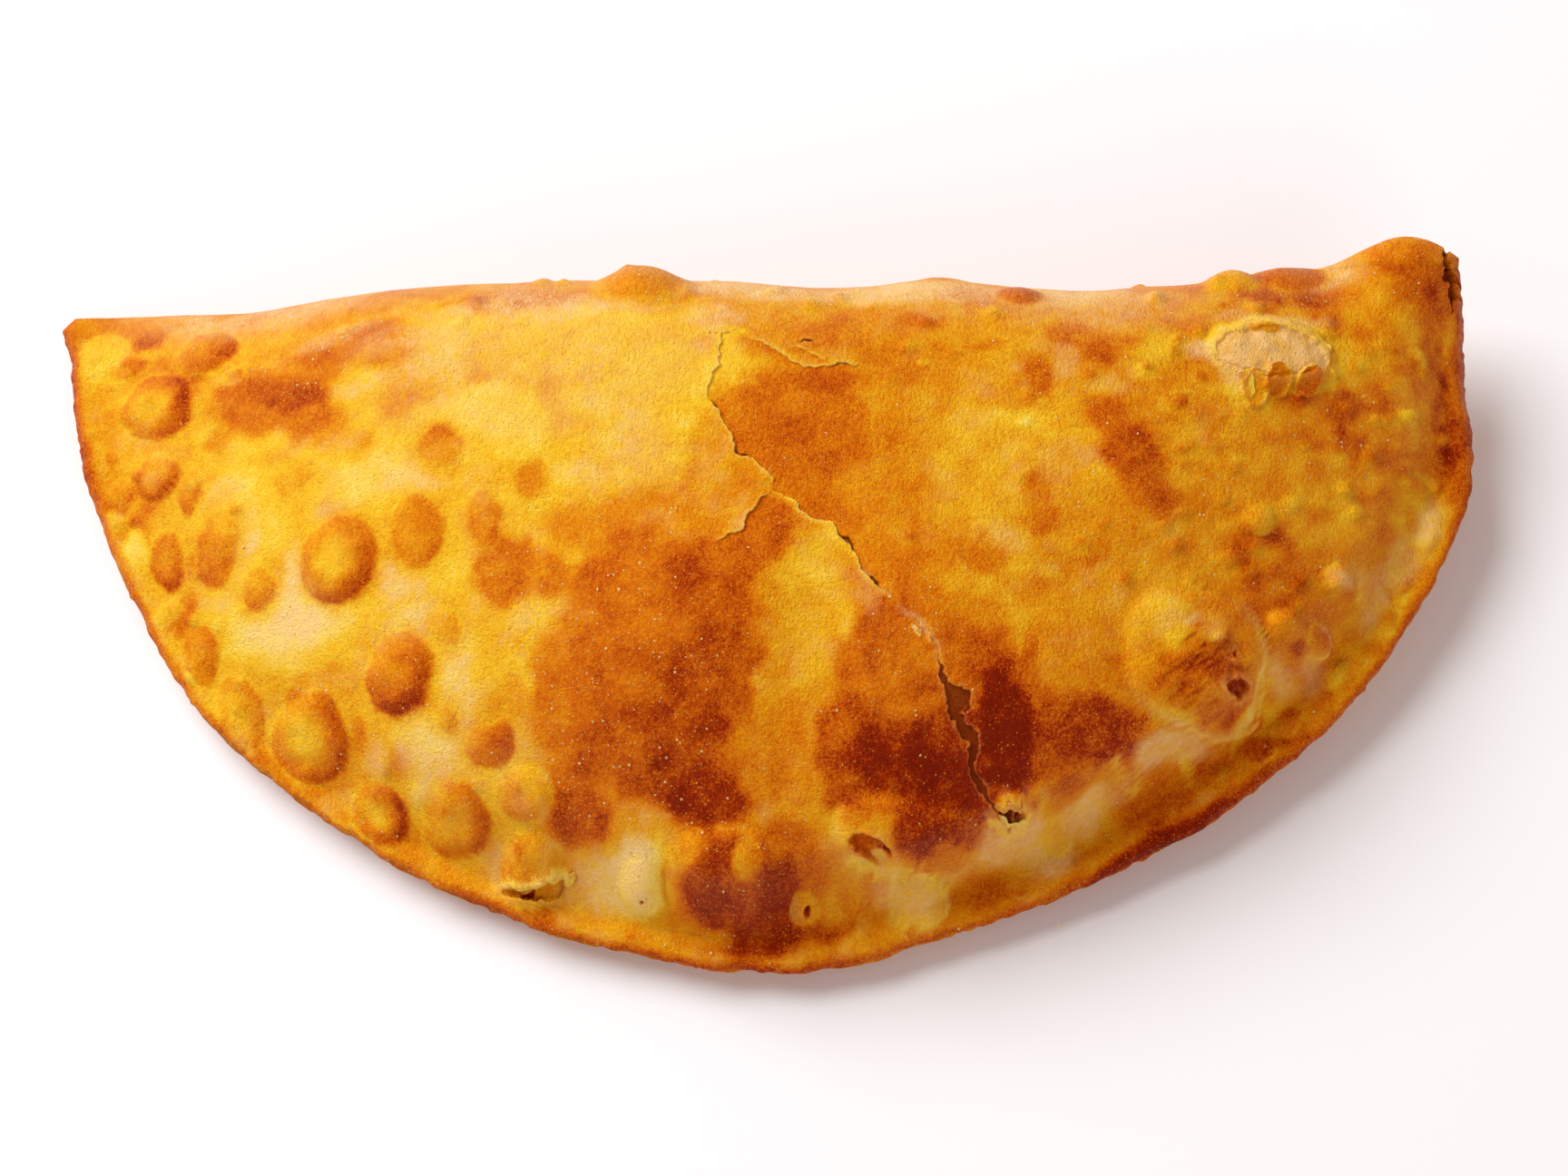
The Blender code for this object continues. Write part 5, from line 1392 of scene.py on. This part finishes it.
def addEdge(bm, index, route, opening, rise, overhang, tone, pallor):
    stations, x, y = followEdge(route)
    alongX = np.gradient(x, stations)
    alongY = np.gradient(y, stations)
    size = np.hypot(alongX, alongY)
    overX = opening * alongY / size  # towards the opening
    overY = -opening * alongX / size
    share = stations / stations[-1]
    taper = ease(np.minimum(share, 1.0 - share) * 5.0) * 0.85 + 0.15
    ragged = 0.65 + 0.5 * softNoise(stations, 0.0, 0.55, 200 + index)
    ragged = ragged + 0.35 * softNoise(stations, 0.0, 1.7, 230 + index)
    foot = edges["foot"]
    step = crackShapes(x - overX * foot * 0.6, y - overY * foot * 0.6)[0]
    rows = (  # reach over the opening, height above the skin, share of the rise
        (-foot, -0.25, 0.0), (-0.5 * foot, 0.1, 0.1), (-0.2 * foot, 0.2, 0.55),
        (0.0, 0.22, 1.0), (0.6 * overhang, 0.2, 1.15), (overhang, 0.1, 1.05))
    place = np.zeros((len(rows), len(x), 3))
    tones = np.zeros((len(rows), len(x)))
    for row, (out, base, part) in enumerate(rows):
        reach = out * (np.clip(ragged, 0.15, 1.4) * taper if out > 0.0 else 1.0)
        lift = base * taper + rise * part * taper * (0.8 + 0.3 * ragged) + np.maximum(step, 0.0)
        place[row] = skinPoints(x + overX * reach, y + overY * reach, lift - (1.0 - taper) * 0.2)
        tones[row] = tone + 0.1 * (1.0 - part) + 0.05 * ragged
    addSheet(bm, len(x), len(rows), place, tones, pallor, edges["thickness"])


def addFlake(bm, index, x, y, halfLength, halfWidth, turn, lift, curl, toneStart, toneEnd, pallor):
    columns, rows = flakes["points"]
    u, v = np.meshgrid(np.linspace(-1.0, 1.0, columns), np.linspace(-1.0, 1.0, rows))
    discU, discV = squareToDisc(u, v)
    angle = np.arctan2(discV, discU)
    ragged = 1.0 + 0.2 * softNoise(angle * 1.6, 0.0 * angle, 0.7, 300 + index)
    ragged += 0.1 * softNoise(angle * 1.6, 0.0 * angle, 0.25, 330 + index)
    ragged[(angle > 3.0) | (angle < -3.0)] = 1.0
    along = discU * ragged * halfLength
    aside = discV * ragged * halfWidth
    way = math.radians(turn)
    px = x + along * math.cos(way) - aside * math.sin(way)
    py = y + along * math.sin(way) + aside * math.cos(way)
    bend = curl * (discV ** 2 + 0.4 * discU ** 2) + 0.12 * softNoise(px, py, 0.9, 360 + index)
    place = skinPoints(px.ravel(), py.ravel(), (lift + bend).ravel()).reshape(rows, columns, 3)
    tone = toneStart + (toneEnd - toneStart) * (0.5 - 0.5 * discV)
    tone = tone + 0.05 * softNoise(px, py, 0.8, 390 + index)
    addSheet(bm, columns, rows, place, tone, pallor, flakes["thickness"])


def makeTornEdges():
    bm = maskedMesh()
    for index, edge in enumerate(edges["list"]):
        addEdge(bm, index, *edge)
    for index, flake in enumerate(flakes["list"]):
        addFlake(bm, index, *flake)
    made = finishMesh(bm, "tornEdges")
    made.shade_smooth()
    return made


addPiece("tornEdges", makeTornEdges(), crustMaterial)


# Crumbs lying on the skin

crumbs = {
    "count": 170,
    "size": (0.1, 0.26),
    "field": ((-94.0, 92.0), (-46.0, 40.0)),
    "inset": 1.0,  # mm in from the rim
    "backInset": 3.0,
    "stretch": (0.7, 1.4),
    "flatness": 0.7,
    "wobble": (0.8, 1.2),
    "browning": (0.0, 0.25),
    "pallor": 0.75,
    "seed": 5,
    "marked": (  # x, y, size
        (-22.2, -4.6, 0.42), (-70.6, 6.2, 0.45), (-52.2, -8.2, 0.35), (-64.0, -2.4, 0.3),
        (-33.6, -10.8, 0.3), (-21.0, -12.0, 0.34), (-30.4, -14.6, 0.36), (38.0, -43.4, 0.4),
        (-8.0, -47.0, 0.4), (17.6, -44.8, 0.36), (52.0, -33.0, 0.3), (66.8, -24.0, 0.3),
        (24.6, -43.8, 0.3), (-14.0, -46.0, 0.3)),
}


def makeCrumbs():
    rng = np.random.default_rng(crumbs["seed"])
    places = list(crumbs["marked"])
    while len(places) < crumbs["count"]:
        x, y = (rng.uniform(*side) for side in crumbs["field"])
        point = np.array([x]), np.array([y])
        _, inward, behind = planPlace(*point)
        amount = paintShape(*point, np.array([0.1]), flourAndSheen)[0]
        inside = inward[0] > crumbs["inset"] and behind[0] > crumbs["backInset"]
        if inside and rng.uniform() < amount:
            places.append((x, y, rng.uniform(*crumbs["size"]) * (0.6 + 0.4 * amount)))
    bm = maskedMesh()
    toast, raw = (bm.verts.layers.float[name] for name in ("toast", "raw"))
    for x, y, size in places:
        centre = Vector(skinPoints(np.array([x]), np.array([y]), np.array([0.3 * size]))[0])
        made = bmesh.ops.create_icosphere(bm, subdivisions=1, radius=0.5 * size * mm)["verts"]
        stretch = Vector(rng.uniform(*crumbs["stretch"], 3))
        stretch.z *= crumbs["flatness"]
        browned = rng.uniform(*crumbs["browning"])
        for vert in made:
            shape = [a * b * rng.uniform(*crumbs["wobble"]) for a, b in zip(vert.co, stretch)]
            vert.co = centre + Vector(shape)
            vert[toast] = browned
            vert[raw] = crumbs["pallor"]
    return finishMesh(bm, "crumbs")


addPiece("crumbs", makeCrumbs(), crustMaterial)


# Floor, light and camera

studio = {
    "floorSize": 3.0,
    "floorColour": (0.92, 0.92, 0.95, 1.0),
    "floorRoughness": 0.7,
    "worldColour": (1.0, 0.82, 0.76, 1.0),
    "worldStrength": 0.35,
    "lightDistance": 1.6,
    "lights": {  # direction, colour, size, power
        "key": ((-0.56, 0.45, 0.69), (0.96, 1.0, 1.0), 1.2, 29.2),
        "fill": ((0.4, -0.72, 0.52), (1.0, 0.93, 0.86), 1.3, 6.6),
    },
}


def addFloor():
    bm = bmesh.new()
    bmesh.ops.create_grid(bm, x_segments=1, y_segments=1, size=0.5 * studio["floorSize"])
    made = finishMesh(bm, "floor")
    floor = bpy.data.objects.new("floor", made)
    bpy.context.scene.collection.objects.link(floor)
    material = bpy.data.materials.new("paleFloor")
    material.use_nodes = True
    shader = material.node_tree.nodes["Principled BSDF"]
    shader.inputs["Base Color"].default_value = studio["floorColour"]
    shader.inputs["Roughness"].default_value = studio["floorRoughness"]
    made.materials.append(material)


def addLight(name, direction, colour, size, power):
    light = bpy.data.lights.new(name + "Light", "AREA")
    light.shape = "DISK"
    light.size = size
    light.color = colour
    light.energy = power
    lamp = bpy.data.objects.new(name + "Light", light)
    bpy.context.scene.collection.objects.link(lamp)
    toLight = Vector(direction).normalized()
    lamp.location = toLight * studio["lightDistance"]
    lamp.rotation_euler = toLight.to_track_quat("Z", "Y").to_euler()


def addWorld():
    world = bpy.data.worlds.new("studio")
    bpy.context.scene.world = world
    world.use_nodes = True
    sky = world.node_tree.nodes["Background"]
    sky.inputs["Color"].default_value = studio["worldColour"]
    sky.inputs["Strength"].default_value = studio["worldStrength"]


view = {
    "target": (2.5, 1.55, 12.0),  # mm
    "elevation": 72.0,  # degrees
    "distance": 0.45,  # m
    "lens": 77.0,  # mm
    "sensor": 36.0,
    "nearest": 0.01,  # m
}


def addCamera():
    camera = bpy.data.cameras.new("camera")
    camera.lens = view["lens"]
    camera.sensor_width = view["sensor"]
    camera.clip_start = view["nearest"]
    eye = bpy.data.objects.new("camera", camera)
    bpy.context.scene.collection.objects.link(eye)
    up = math.radians(view["elevation"])
    back = Vector((0.0, -math.cos(up), math.sin(up)))
    eye.location = Vector(view["target"]) * mm + back * view["distance"]
    eye.rotation_euler = back.to_track_quat("Z", "Y").to_euler()
    bpy.context.scene.camera = eye


addFloor()
addWorld()
for name, settings in studio["lights"].items():
    addLight(name, *settings)
addCamera()
bpy.context.scene.view_settings.view_transform = "Standard"
print("floor, light and camera set")
